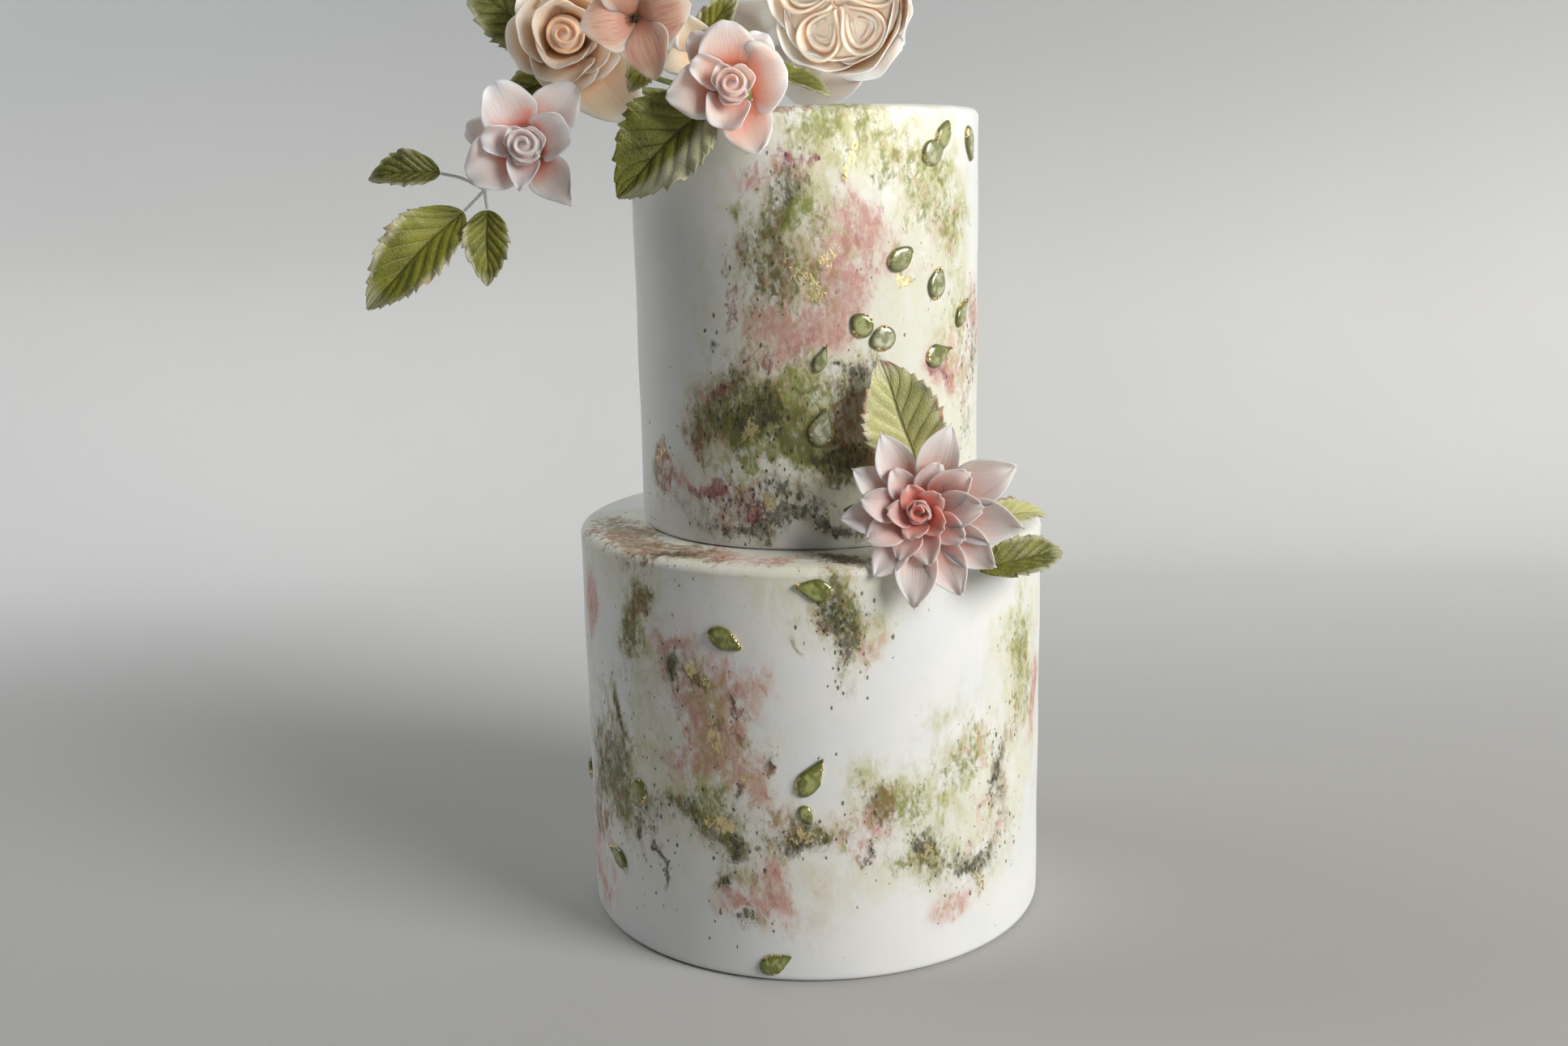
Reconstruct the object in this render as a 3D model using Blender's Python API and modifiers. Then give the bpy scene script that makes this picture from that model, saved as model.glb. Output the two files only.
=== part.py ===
# A two-tier wedding cake with sugar flowers, in metres, +Z up.
# The origin is the middle of the underside, and the front of the cake faces -Y.

import math

import bmesh
import bpy
from mathutils import Matrix, Vector

MM = 0.001

# Tiers: iced cylinders, the upper one standing on the lower one
LOWER_RADIUS = 93.3 * MM
LOWER_HEIGHT = 159.0 * MM
UPPER_RADIUS = 67.5 * MM
UPPER_HEIGHT = 159.0 * MM
TOP_EDGE = 4.0 * MM
FOOT_EDGE = 1.5 * MM
TIER_STEPS = 48
TOUCH = 0.3 * MM
UPPER_FOOT = LOWER_HEIGHT + TOUCH
CAKE_TOP = UPPER_FOOT + UPPER_HEIGHT

# Sugar paste is rolled thin, and the edges of petals and leaves keep this thickness
PETAL_THICK = 1.1 * MM
LEAF_THICK = 0.9 * MM
STEM_RADIUS = 1.1 * MM
WIRE_RADIUS = 0.75 * MM

# Jelly drops on the walls: azimuth from the front in degrees, height above the base of the cake, length and
# width in millimetres, and the turn of the tail
DROP_THICK = 2.6 * MM
UPPER_DROPS = [
    (47, 307, 10.5, 7.5, 60), (42, 301, 10, 9.5, 20), (64, 305, 12, 7, -75), (29, 264, 11, 8.5, 35),
    (44, 254, 11, 9, 70), (58, 242, 11, 7, 50), (16, 241, 9, 8.5, 130), (23, 236, 10, 9, 200),
    (44, 228, 11.5, 9, 15), (3, 229, 9, 5, 65), (3, 204, 12.5, 9, 80),
]
LOWER_DROPS = [
    (0, 151, 12, 8.5, 165), (-21, 132, 12.5, 8.5, -25), (-82, 56, 10, 8.5, 250), (-47, 65, 11, 9.5, 250),
    (-2, 80, 14.5, 8.5, 60), (-57, 33, 12, 7.5, 160), (-11, 7, 12, 8, 30), (-3, 67, 7, 5, 300),
]
BACK_DROPS = 5
BACK_DROP_LENGTH = 11.0

FLOWER_SIDES = 8
SMOOTH_ANGLE = math.radians(35)


def shade(name, colour, roughness):
    """A plain sugar or paste surface."""
    material = bpy.data.materials.new(name)
    material.use_nodes = True
    surface = material.node_tree.nodes["Principled BSDF"]
    surface.inputs["Base Color"].default_value = (*colour, 1.0)
    surface.inputs["Roughness"].default_value = roughness
    surface.inputs["Metallic"].default_value = 0.0
    return material


def vary(seed, index):
    """A fixed number from -1 to 1 for each seed and index, so that no two petals are quite alike."""
    wave = math.sin(seed * 12.9898 + index * 78.233) * 43758.5453
    return 2.0 * (wave - math.floor(wave)) - 1.0


def add_mesh(name, mesh_tools, material, collection):
    """An object from a finished bmesh."""
    mesh = bpy.data.meshes.new(name)
    mesh_tools.to_mesh(mesh)
    mesh_tools.free()
    mesh.materials.append(material)
    obj = bpy.data.objects.new(name, mesh)
    collection.objects.link(obj)
    return obj


def sheet(name, columns, rows, place, thickness, material, collection):
    """A square grid bent by place(u, v), u from -1 to 1 and v from 0 to 1, and thickened on both sides."""
    grid = bmesh.new()
    bmesh.ops.create_grid(grid, x_segments=columns, y_segments=rows, size=1.0)
    for vertex in grid.verts:
        vertex.co = place(vertex.co.x, (vertex.co.y + 1.0) / 2.0)
    bmesh.ops.triangulate(grid, faces=grid.faces[:])
    obj = add_mesh(name, grid, material, collection)
    skin = obj.modifiers.new("Thickness", "SOLIDIFY")
    skin.thickness = thickness
    skin.offset = 0.0
    skin.use_even_offset = False
    return obj


def turned(name, profile, steps, material, collection):
    """A solid of revolution about Z. The profile is (radius, height) pairs, top to bottom, at +X."""
    line = bmesh.new()
    points = [line.verts.new((radius, 0.0, height)) for radius, height in profile]
    for first, second in zip(points, points[1:]):
        line.edges.new((first, second))
    obj = add_mesh(name, line, material, collection)
    lathe = obj.modifiers.new("Lathe", "SCREW")
    lathe.steps = steps
    lathe.render_steps = steps
    lathe.use_merge_vertices = True
    lathe.merge_threshold = 0.00001
    return obj


def baked(obj):
    """Replaces an object's mesh by its evaluated one, with every modifier applied."""
    bpy.context.view_layer.update()
    graph = bpy.context.evaluated_depsgraph_get()
    mesh = bpy.data.meshes.new_from_object(obj.evaluated_get(graph))
    obj.modifiers.clear()
    obj.data = mesh
    return obj


def keep_outer_shell(obj):
    """Drops loose scraps and the skins of sealed hollows, and keeps the one largest shell."""
    shells = bmesh.new()
    shells.from_mesh(obj.data)
    unseen = set(shells.faces)
    found = []
    while unseen:
        queue = [unseen.pop()]
        shell = list(queue)
        while queue:
            for edge in queue.pop().edges:
                for face in edge.link_faces:
                    if face in unseen:
                        unseen.remove(face)
                        queue.append(face)
                        shell.append(face)
        found.append(shell)
    found.sort(key=len)
    spare = [face for shell in found[:-1] for face in shell]
    bmesh.ops.delete(shells, geom=spare, context="FACES")
    bmesh.ops.triangulate(shells, faces=shells.faces[:])
    shells.to_mesh(obj.data)
    shells.free()


def fuse(name, pieces):
    """One solid from pieces that cross: the first is the body, and the rest join it in one Boolean union."""
    body = pieces[0]
    joined = bpy.data.collections.new(name + "_joined")
    bpy.context.scene.collection.children.link(joined)
    for piece in pieces[1:]:
        for owner in list(piece.users_collection):
            owner.objects.unlink(piece)
        joined.objects.link(piece)
    union = body.modifiers.new("Union", "BOOLEAN")
    union.operation = "UNION"
    union.operand_type = "COLLECTION"
    union.collection = joined
    union.solver = "MANIFOLD"  # the exact solver leaves open edges where many thin petals cross
    baked(body)
    for piece in pieces[1:]:
        bpy.data.objects.remove(piece)
    bpy.data.collections.remove(joined)
    keep_outer_shell(body)
    body.data.shade_smooth()
    body.data.set_sharp_from_angle(angle=SMOOTH_ANGLE)
    body.name = name
    return body


def faced(obj, location, facing):
    """Puts an object that opens along its own +Z at a place, with its own +Y kept upright."""
    turn = Vector(facing).to_track_quat("Z", "Y").to_matrix().to_4x4()
    obj.matrix_world = Matrix.Translation(Vector(location)) @ turn
    return obj


# Tiers


def edge_arc(radius, height, size, first, last, steps=2):
    """Points of a rounded corner whose outer point is (radius, height)."""
    centre = (radius - size, height - size if first > last else height + size)
    angles = [math.radians(first + (last - first) * step / steps) for step in range(steps + 1)]
    return [(centre[0] + size * math.cos(angle), centre[1] + size * math.sin(angle)) for angle in angles]


def tier(name, radius, height, foot, material, collection):
    """An iced cylinder with a rounded top edge and a slightly tucked foot."""
    profile = [(0.0, height)]
    profile += edge_arc(radius, height, TOP_EDGE, 90, 0)
    profile += [(radius, FOOT_EDGE), (radius - FOOT_EDGE, 0.0), (0.0, 0.0)]
    obj = turned(name, profile, TIER_STEPS, material, collection)
    obj.location.z = foot
    return obj


def jelly_drop(name, azimuth, height, length, width, turn, radius, material, collection):
    """A flat drop with a drawn-out tail, laid on a tier's wall."""
    drop = bmesh.new()
    bmesh.ops.create_uvsphere(drop, u_segments=7, v_segments=4, radius=0.5)
    for vertex in drop.verts:
        tail = max(0.0, vertex.co.x * 2.0)
        vertex.co.x *= length * (1.0 + 0.35 * tail)
        vertex.co.y *= width * (1.0 - 0.62 * tail)
        vertex.co.z *= DROP_THICK * (1.0 - 0.35 * tail)
    obj = add_mesh(name, drop, material, collection)
    angle = math.radians(azimuth)
    outward = Vector((math.sin(angle), -math.cos(angle), 0.0))
    faced(obj, outward * (radius + 0.1 * DROP_THICK) + Vector((0, 0, height)), outward)
    obj.matrix_world = obj.matrix_world @ Matrix.Rotation(math.radians(turn), 4, "Z")
    return obj


def decorated_tier(name, radius, height, foot, drops, seed, material, collection):
    """A tier with the drops of its front wall, and others spread over the wall that faces away."""
    pieces = [tier(name + "_body", radius, height, foot, material, collection)]
    placed = [(azimuth, level * MM, length * MM, width * MM, turn)
              for azimuth, level, length, width, turn in drops]
    for index in range(BACK_DROPS):
        azimuth = 100 + 160 * (index + 0.5 + 0.3 * vary(seed, index)) / BACK_DROPS
        level = foot + height * (0.5 + 0.36 * vary(seed + 1, index))
        length = BACK_DROP_LENGTH * MM * (1.0 + 0.12 * vary(seed + 2, index))
        placed.append((azimuth, level, length, 0.8 * length, 180 * vary(seed + 3, index)))
    for index, (azimuth, level, length, width, turn) in enumerate(placed):
        pieces.append(jelly_drop(f"{name}_drop_{index}", azimuth, level, length, width, turn, radius,
                                 material, collection))
    return fuse(name, pieces)


# Petals


# A petal's settings. "open" holds the angles of its middle line from the flower's axis, in degrees, at the
# base, in between and at the tip. "start" and "lift" place its base, "cup" is how far its section is bent,
# "drop" rounds its upper corners, "narrow" and "end" are its widths at the base and tip as shares of the
# greatest, at "belly", "curl" turns its edges back, and "spiral" tucks one edge in and lifts the other out.
PETAL = {
    "open": (38, 78, 92), "start": 2.0 * MM, "lift": 0.0, "cup": 0.6, "drop": 0.0, "belly": 0.55,
    "narrow": 0.25, "end": 0.6, "curl": 0.0, "spiral": 0.0,
}
MIDLINE_STEPS = 14


def petal_width_share(petal, v):
    """How wide a petal is at v, as a share of its greatest width."""
    if v < petal["belly"]:
        return petal["narrow"] + (1.0 - petal["narrow"]) * math.sin(0.5 * math.pi * v / petal["belly"])
    fall = (v - petal["belly"]) / (1.0 - petal["belly"])
    return petal["end"] + (1.0 - petal["end"]) * math.cos(0.5 * math.pi * fall)


def petal_point(petal, u, v):
    """A point of a petal that opens from the flower's axis, +Z, towards +X."""
    first, middle, last = (math.radians(angle) for angle in petal["open"])
    along = v * (1.0 - petal["drop"] * abs(u) ** 3)
    radius = petal["start"]
    height = petal["lift"]
    angle = first
    for step in range(MIDLINE_STEPS):
        s = along * (step + 0.5) / MIDLINE_STEPS
        angle = first * (1 - s) ** 2 + 2 * middle * s * (1 - s) + last * s * s
        radius += petal["length"] * along / MIDLINE_STEPS * math.sin(angle)
        height += petal["length"] * along / MIDLINE_STEPS * math.cos(angle)
    bend_radius = 0.5 * petal["width"] / petal["cup"]
    bend = u * petal["cup"] * petal_width_share(petal, v)
    inward = bend_radius * (1.0 - math.cos(bend)) - petal["curl"] * abs(u) ** 4 * v + petal["spiral"] * u
    return Vector((
        radius - inward * math.cos(angle),
        bend_radius * math.sin(bend),
        height + inward * math.sin(angle),
    ))


def petal_piece(name, settings, angle, grid, material, collection):
    """One petal, turned about the flower's axis."""
    petal = {**PETAL, **settings}
    obj = sheet(name, *grid, lambda u, v: petal_point(petal, u, v), PETAL_THICK, material, collection)
    obj.matrix_world = Matrix.Rotation(math.radians(angle), 4, "Z")
    return obj


# Outline of the cup that petals grow from, as shares of its radius
RECEPTACLE = [(0, 0.36), (0.45, 0.36), (1, 0.11), (1, -0.09), (0.45, -0.45), (0.23, -0.64), (0, -0.64)]


def receptacle(name, size, material, collection):
    """The shallow cup under a flower, which holds the foot of every petal, with its radius in millimetres."""
    profile = [(radius * size * MM, height * size * MM) for radius, height in RECEPTACLE]
    return turned(name, profile, FLOWER_SIDES, material, collection)


def rolled_heart(name, inner, outer, turns, foot, depth, segments, material, collection):
    """The rolled heart of a flower: one ribbon wound outwards, narrow at its foot. Sizes in millimetres."""

    def place(u, v):
        share = (u + 1.0) / 2.0
        angle = 2.0 * math.pi * turns * share
        rim = inner + (outer - inner) * share
        radius = rim * (0.6 + 0.4 * v)
        height = foot + depth * v * (1.0 - 0.2 * share)
        return Vector((radius * math.cos(angle), radius * math.sin(angle), height)) * MM

    return sheet(name, segments, 1, place, PETAL_THICK, material, collection)


# Kinds of petal. A petal's own angle is in degrees, counted from the flower's right as it faces the viewer.
OPEN_PETAL = {"cup": 0.55, "drop": 0.16, "curl": 1.5 * MM, "start": 6.0 * MM}
HUGGING_PETAL = {"open": (24, 20, 62), "cup": 1.0, "drop": 0.1, "end": 0.75, "start": 4.0 * MM, "narrow": 0.3}


def single_petal(base, angle, length, width, **changes):
    """A petal of a given kind, with its own angle, length and width in millimetres."""
    return angle, {**base, "length": length * MM, "width": width * MM, **changes}


def open_rose(name, petals, bud, material, collection):
    """A small open rose: a rolled bud and petals round it."""
    pieces = [receptacle(name + "_core", bud + 0.5, material, collection)]
    pieces.append(rolled_heart(name + "_bud", 1.1, 0.8 * bud, 1.6, 2, 12, 13, material, collection))
    for index, (angle, petal) in enumerate(petals):
        pieces.append(petal_piece(f"{name}_{index}", petal, angle, (3, 3), material, collection))
    return fuse(name, pieces)


PINK_LEFT_PETALS = [
    single_petal(OPEN_PETAL, 115, 21, 22, open=(34, 68, 80)),
    single_petal(OPEN_PETAL, 50, 22, 19, open=(62, 90, 96), lift=-0.6 * MM),
    single_petal(HUGGING_PETAL, 18, 17, 20, open=(34, 45, 70)),
    single_petal(OPEN_PETAL, -55, 22, 17, end=0.3),
    single_petal(HUGGING_PETAL, -98, 17, 14, open=(30, 40, 66), end=0.35),
    single_petal(OPEN_PETAL, 207, 20, 22),
    single_petal(HUGGING_PETAL, 170, 15, 13, open=(34, 44, 76)),
    single_petal(OPEN_PETAL, 163, 18, 15, open=(66, 94, 98), lift=-0.6 * MM),
]
PINK_RIGHT_PETALS = [
    single_petal(OPEN_PETAL, 12, 15, 27, open=(34, 70, 74), cup=0.75),
    single_petal(OPEN_PETAL, 98, 17, 21, open=(36, 74, 80)),
    single_petal(OPEN_PETAL, 55, 15, 17, open=(62, 90, 96), lift=-0.6 * MM),
    single_petal(OPEN_PETAL, 190, 19, 20, open=(36, 76, 84), end=0.4),
    single_petal(HUGGING_PETAL, 152, 15, 12, open=(34, 44, 70)),
    single_petal(HUGGING_PETAL, 256, 15, 18, open=(30, 38, 84)),
    single_petal(OPEN_PETAL, 290, 21, 19, open=(50, 82, 70), end=0.45, lift=-0.4 * MM),
    single_petal(OPEN_PETAL, 128, 17, 14, open=(66, 94, 96), lift=-0.6 * MM),
]


def wrapped_ring(name, count, rim, length, opening, first_angle, lift, grid, material, collection, **changes):
    """A ring of equal petals round the heart, each tucked under the next. Sizes are in millimetres."""
    pieces = []
    half_angle = 1.22 * math.pi / count
    for index in range(count):
        angle = first_angle + 360 * index / count + 4 * vary(count, index)
        petal = {
            "length": length * MM * (1 + 0.05 * vary(rim, index)), "width": 2 * rim * MM * half_angle,
            "open": opening, "lift": lift * MM, "cup": half_angle, "drop": 0.12, "end": 0.75,
            "spiral": 1.4 * MM, **changes,
        }
        pieces.append(petal_piece(f"{name}_{index}", petal, angle, grid, material, collection))
    return pieces


# Rings of the peach rose: count, rim radius, length, opening, first angle, lift, start radius and grid
PEACH_RINGS = [
    (3, 11, 18, (45, 5, 18), 20, 1.0, 4.5, (4, 2)),
    (4, 15, 18, (60, 12, 30), 75, 0.0, 7.5, (3, 2)),
    (5, 18, 15, (70, 24, 50), 50, -0.5, 10.0, (3, 3)),
]


def peach_rose(name, material, collection):
    """A half-open rose with one long petal that hangs out below it."""
    pieces = [receptacle(name + "_core", 11, material, collection)]
    pieces.append(rolled_heart(name + "_heart", 1.1, 6.5, 1.6, 3, 15, 14, material, collection))
    for ring, (count, rim, length, opening, first_angle, lift, start, grid) in enumerate(PEACH_RINGS):
        pieces += wrapped_ring(f"{name}_{ring}", count, rim, length, opening, first_angle, lift, grid,
                               material, collection, start=start * MM)
    angle, petal = single_petal(OPEN_PETAL, -52, 33, 30, open=(72, 64, 62), lift=-1 * MM, start=8 * MM)
    pieces.append(petal_piece(name + "_hanging", petal, angle, (4, 3), material, collection))
    return fuse(name, pieces)


# The large rose: five folded quarters, each a pair of nested loops, in a cup of petals. A loop has its near
# and far radius, half its spread in radians and its segments, and a cup petal its angle, length, width and
# opening.
QUARTERS = 5
LOOPS = [(4.5, 21.5, 0.50, 8), (9.0, 15.5, 0.22, 6)]
BOWL = [(0, 13), (21, 15.5), (21.5, 12), (15, 4), (6, 0), (4, -6), (0, -6)]
CUP_PETALS = [
    (-122, 32, 46, (78, 58, 74)), (-172, 39, 44, (78, 58, 76)), (-66, 22, 36, (76, 40, 46)),
    (-14, 20, 34, (76, 32, 26)), (40, 23, 38, (76, 38, 36)), (92, 31, 40, (78, 48, 60)),
    (141, 36, 42, (78, 54, 70)),
]


def folded_loop(name, near, far, spread, segments, foot, depth, material, collection):
    """A ribbon on its edge, folded into a loop that points away from the axis."""

    def place(u, v):
        swing = math.pi * abs(u)
        radius = (far + near + (far - near) * math.cos(swing)) / 2.0
        side = math.copysign(spread * math.sin(min(swing, 2.6)), u)
        radius *= 0.86 + 0.14 * v
        return Vector((radius * math.cos(side), radius * math.sin(side), foot + depth * v)) * MM

    return sheet(name, segments, 1, place, PETAL_THICK, material, collection)


def garden_rose(name, material, collection):
    """A wide cupped rose whose heart is divided into folded quarters."""
    profile = [(radius * MM, height * MM) for radius, height in BOWL]
    pieces = [turned(name + "_bowl", profile, 2 * FLOWER_SIDES, material, collection)]
    pieces += wrapped_ring(name + "_cup", 5, 25, 24, (60, 24, 8), 12, 8, (4, 2), material, collection,
                           start=15 * MM)
    for index, (angle, length, width, opening) in enumerate(CUP_PETALS):
        petal = {
            "length": length * MM, "width": width * MM, "open": opening, "start": 12 * MM, "lift": 5 * MM,
            "cup": 0.8, "drop": 0.14, "end": 0.7, "spiral": 1.4 * MM, "curl": 2.0 * MM,
        }
        pieces.append(petal_piece(f"{name}_petal_{index}", petal, angle, (3, 3), material, collection))
    for quarter in range(QUARTERS):
        for loop, (near, far, spread, segments) in enumerate(LOOPS):
            piece = folded_loop(f"{name}_loop_{quarter}_{loop}", near, far, spread, segments,
                                11, 12 + 2 * loop, material, collection)
            angle = 90 + 360 * quarter / QUARTERS + 4 * vary(11, quarter)
            piece.matrix_world = Matrix.Rotation(math.radians(angle), 4, "Z")
            pieces.append(piece)
    return fuse(name, pieces)


# Dahlia petals: angle and reach from the middle. Each ring has an opening, a width, a lift, a start and rows.
OUTER_RING = [(116, 31), (70, 33), (147, 28), (26, 38), (-8, 37), (-35, 33), (-62, 33), (-92, 34), (-124, 28),
              (185, 28)]
MIDDLE_RING = [(168, 22), (210, 22), (122, 19), (69, 20), (38, 24), (5, 24), (-30, 20), (-78, 20), (-112, 19)]
INNER_RING = [(40, 13), (112, 13), (184, 14), (256, 13), (328, 14)]
DAHLIA_RINGS = [
    (OUTER_RING, (66, 80, 80), 0.48, -0.4, 6.0, 3),
    (MIDDLE_RING, (50, 66, 74), 0.48, 0.3, 4.5, 3),
    (INNER_RING, (22, 48, 56), 0.65, 0.8, 3.0, 2),
]


def dahlia(name, material, collection):
    """Three rings of pointed petals round a tight knot of folded ones."""
    pieces = [receptacle(name + "_core", 7.5, material, collection)]
    for ring, (members, opening, share, lift, start, rows) in enumerate(DAHLIA_RINGS):
        for index, (angle, reach) in enumerate(members):
            petal = {
                "length": (reach - start) * MM, "width": share * reach * MM, "open": opening,
                "start": start * MM, "lift": lift * MM, "narrow": 0.15, "end": 0.15, "spiral": 0.9 * MM,
            }
            petal_name = f"{name}_{ring}_{index}"
            pieces.append(petal_piece(petal_name, petal, angle, (2, rows), material, collection))
    pieces.append(rolled_heart(name + "_heart", 1.0, 4, 1.2, 2, 9, 9, material, collection))
    return fuse(name, pieces)


def blossom(name, petals, material, collection):
    """A flat blossom of four broad petals round a small dark eye."""
    pieces = [receptacle(name + "_core", 3.4, material, collection)]
    for index, (angle, petal) in enumerate(petals):
        pieces.append(petal_piece(f"{name}_{index}", petal, angle, (2, 3), material, collection))
    return fuse(name, pieces)


BROAD_PETAL = {"open": (44, 84, 94), "cup": 0.35, "drop": 0.2, "end": 0.5, "narrow": 0.12, "start": 1.0 * MM,
               "spiral": 0.8 * MM}
LARGE_BLOSSOM = [
    single_petal(BROAD_PETAL, 186, 19, 22),
    single_petal(BROAD_PETAL, -72, 22, 19, open=(44, 80, 82)),
    single_petal(BROAD_PETAL, 12, 20, 23),
    single_petal(BROAD_PETAL, 98, 20, 21),
]
SMALL_BLOSSOM = [
    single_petal(BROAD_PETAL, 20 + 90 * quarter, 15, 14, open=(34, 64, 84)) for quarter in range(4)
]

# Leaves: base, tip, the way the upper face looks, width, arch of the midrib and depth of the fold, with lengths
# in millimetres
LEAVES = {
    "leaf_front": ((-33.5, -61.5, 319.0), (-67.0, -63.0, 287.5), (-0.25, -1.0, 0.15), 32, 3.0, 0.22),
    "leaf_top_left": ((-100.0, 3.5, 346.5), (-128.0, -5.0, 368.0), (-0.1, -1.0, 0.2), 24, 3.0, 0.25),
    "leaf_behind_left": ((-93.0, 10.0, 332.0), (-118.0, 1.0, 324.5), (0.0, -1.0, 0.3), 15, 3.0, 0.25),
    "leaf_below_blossom": ((-53.0, -39.0, 338.0), (-63.5, -42.0, 324.5), (-0.1, -1.0, 0.1), 12, 3.0, 0.2),
    "leaf_beside_blossom": ((-40.0, -24.0, 341.0), (-24.0, -30.0, 360.0), (0.2, -1.0, 0.1), 13, 2.0, 0.2),
    "leaf_under_rose": ((-19.0, -40.0, 330.0), (9.0, -47.0, 321.5), (0.1, -0.6, 1.0), 14, 2.0, 0.2),
    "leaf_wired_left": ((-136.1, -30.0, 297.7), (-162.0, -33.0, 295.5), (0.0, -1.0, 0.45), 14, 3.0, 0.3),
    "leaf_wired_large": ((-128.3, -30.0, 283.0), (-165.2, -36.0, 248.2), (-0.15, -1.0, 0.1), 25, 4.0, 0.28),
    "leaf_wired_small": ((-119.2, -30.0, 283.4), (-120.2, -34.0, 256.0), (0.1, -1.0, 0.1), 17, 2.5, 0.25),
    "leaf_dahlia_up": ((37.5, -71.5, 191.5), (24.5, -69.0, 229.0), (0.1, -1.0, 0.1), 29, 1.5, 0.15),
    "leaf_dahlia_right": ((59.0, -85.0, 154.8), (91.5, -67.0, 156.5), (0.25, -0.8, 0.6), 15, 3.0, 0.3),
    "leaf_dahlia_back": ((61.0, -64.0, 165.0), (90.0, -38.0, 165.0), (0.15, -0.5, 1.0), 15, 3.0, 0.2),
    "leaf_dahlia_left": ((24.0, -73.0, 172.5), (11.0, -73.5, 175.5), (-0.1, -1.0, 0.3), 8, 1.0, 0.2),
    "leaf_back_right": ((8.0, 20.0, 334.0), (22.0, 48.0, 332.0), (0.0, 0.5, 1.0), 22, 4.0, 0.25),
    "leaf_back_left": ((-22.0, 26.0, 335.0), (-52.0, 38.0, 327.0), (0.0, 0.6, 1.0), 22, 4.0, 0.25),
}
SMALL_LEAF = 16.0


def leaf(name, base, tip, upper, width, arch, fold, material, collection):
    """A thin leaf: pointed, folded along its midrib, arched, and wavy towards its edges."""
    start = Vector(base) * MM
    run = Vector(tip) * MM - start
    length = run.length
    forward = run.normalized()
    normal = Vector(upper)
    normal = (normal - forward * normal.dot(forward)).normalized()
    across = normal.cross(forward)

    def place(u, v):
        belly = math.sin(math.pi * v ** 0.78) ** 0.75 if 0.0 < v < 1.0 else 0.0
        half_width = 0.5 * width * MM * max(belly, 0.05)
        raised = fold * abs(u) * half_width * 2.0
        raised += arch * MM * math.sin(math.pi * v)
        raised += 0.06 * half_width * math.sin(7.0 * v + 2.0 * u) * abs(u)
        return start + forward * length * v + across * u * half_width + normal * raised

    columns, rows = (4, 5) if width > SMALL_LEAF else (2, 4)
    return baked(sheet(name, columns, rows, place, LEAF_THICK, material, collection))


# Stems: taped wires from a gathering point on the cake's top to the back of each flower


def tube(name, points, radius, steps, material, collection):
    """A round wire along a smooth curve through its points, made a mesh with welded ends."""
    corners = [Vector(point) * MM for point in points]
    corners = [2 * corners[0] - corners[1], *corners, 2 * corners[-1] - corners[-2]]
    route = []
    for index in range(1, len(corners) - 2):
        before, start, end, after = corners[index - 1:index + 3]
        for step in range(steps):
            t = step / steps
            route.append(0.5 * (2 * start + (end - before) * t
                                + (2 * before - 5 * start + 4 * end - after) * t * t
                                + (3 * start - before - 3 * end + after) * t ** 3))
    route.append(corners[-2])
    curve = bpy.data.curves.new(name, "CURVE")
    curve.dimensions = "3D"
    curve.bevel_depth = radius
    curve.bevel_resolution = 0
    curve.use_fill_caps = True
    spline = curve.splines.new("POLY")
    spline.points.add(len(route) - 1)
    for point, place in zip(spline.points, route):
        point.co = (*place, 1.0)
    guide = bpy.data.objects.new(name + "_route", curve)
    collection.objects.link(guide)
    bpy.context.view_layer.update()
    mesh = bpy.data.meshes.new_from_object(guide.evaluated_get(bpy.context.evaluated_depsgraph_get()))
    bpy.data.objects.remove(guide)
    ends = bmesh.new()
    ends.from_mesh(mesh)
    bmesh.ops.remove_doubles(ends, verts=ends.verts[:], dist=0.00001)
    ends.to_mesh(mesh)
    ends.free()
    mesh.materials.clear()
    mesh.materials.append(material)
    obj = bpy.data.objects.new(name, mesh)
    collection.objects.link(obj)
    return obj


HUB = (-30.0, 8.0, CAKE_TOP / MM + 5.0)
TOP_STEMS = [
    [HUB, (-30.0, -30.0, 325.5), (-25.6, -61.0, 324.6)],
    [HUB, (-70.0, 8.0, 328.0), (-98.0, -2.0, 318.0), (-102.0, -30.0, 306.8)],
    [HUB, (-62.0, 10.0, 334.0), (-88.0, 8.0, 343.0), (-89.8, 2.9, 346.8)],
    [HUB, (-8.0, 16.0, 336.0), (14.0, 17.0, 353.0), (23.7, 7.8, 359.5)],
    [HUB, (-44.0, 2.0, 336.0), (-60.0, -16.0, 346.0), (-60.0, -46.2, 348.9)],
    [HUB, (-30.0, -10.0, 330.0), (-37.0, -28.2, 337.8)],
    [(-98.0, -2.0, 318.0), (-110.0, -22.0, 301.0), (-118.2, -30.2, 293.0)],
]
LEAF_NUB = (-119.6, -31.0, 291.2)
LEAF_WIRES = [
    [LEAF_NUB, (-128.0, -31.0, 295.5), (-135.6, -30.3, 297.3)],
    [LEAF_NUB, (-124.0, -31.0, 287.0), (-127.9, -30.2, 283.5)],
    [LEAF_NUB, (-119.4, -31.0, 287.0), (-119.2, -30.3, 284.2)],
]
DAHLIA_STEM = [(38.1, -79.0, 174.9), (38.3, -73.5, 168.5), (38.2, -71.0, LOWER_HEIGHT / MM + 0.6)]


def stem_bundle(name, routes, radius, material, collection, steps=3):
    """Several wires joined where they gather."""
    pieces = [tube(f"{name}_{index}", route, radius, steps, material, collection)
              for index, route in enumerate(routes)]
    if len(pieces) > 1:
        return fuse(name, pieces)
    pieces[0].name = name
    return pieces[0]


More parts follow.
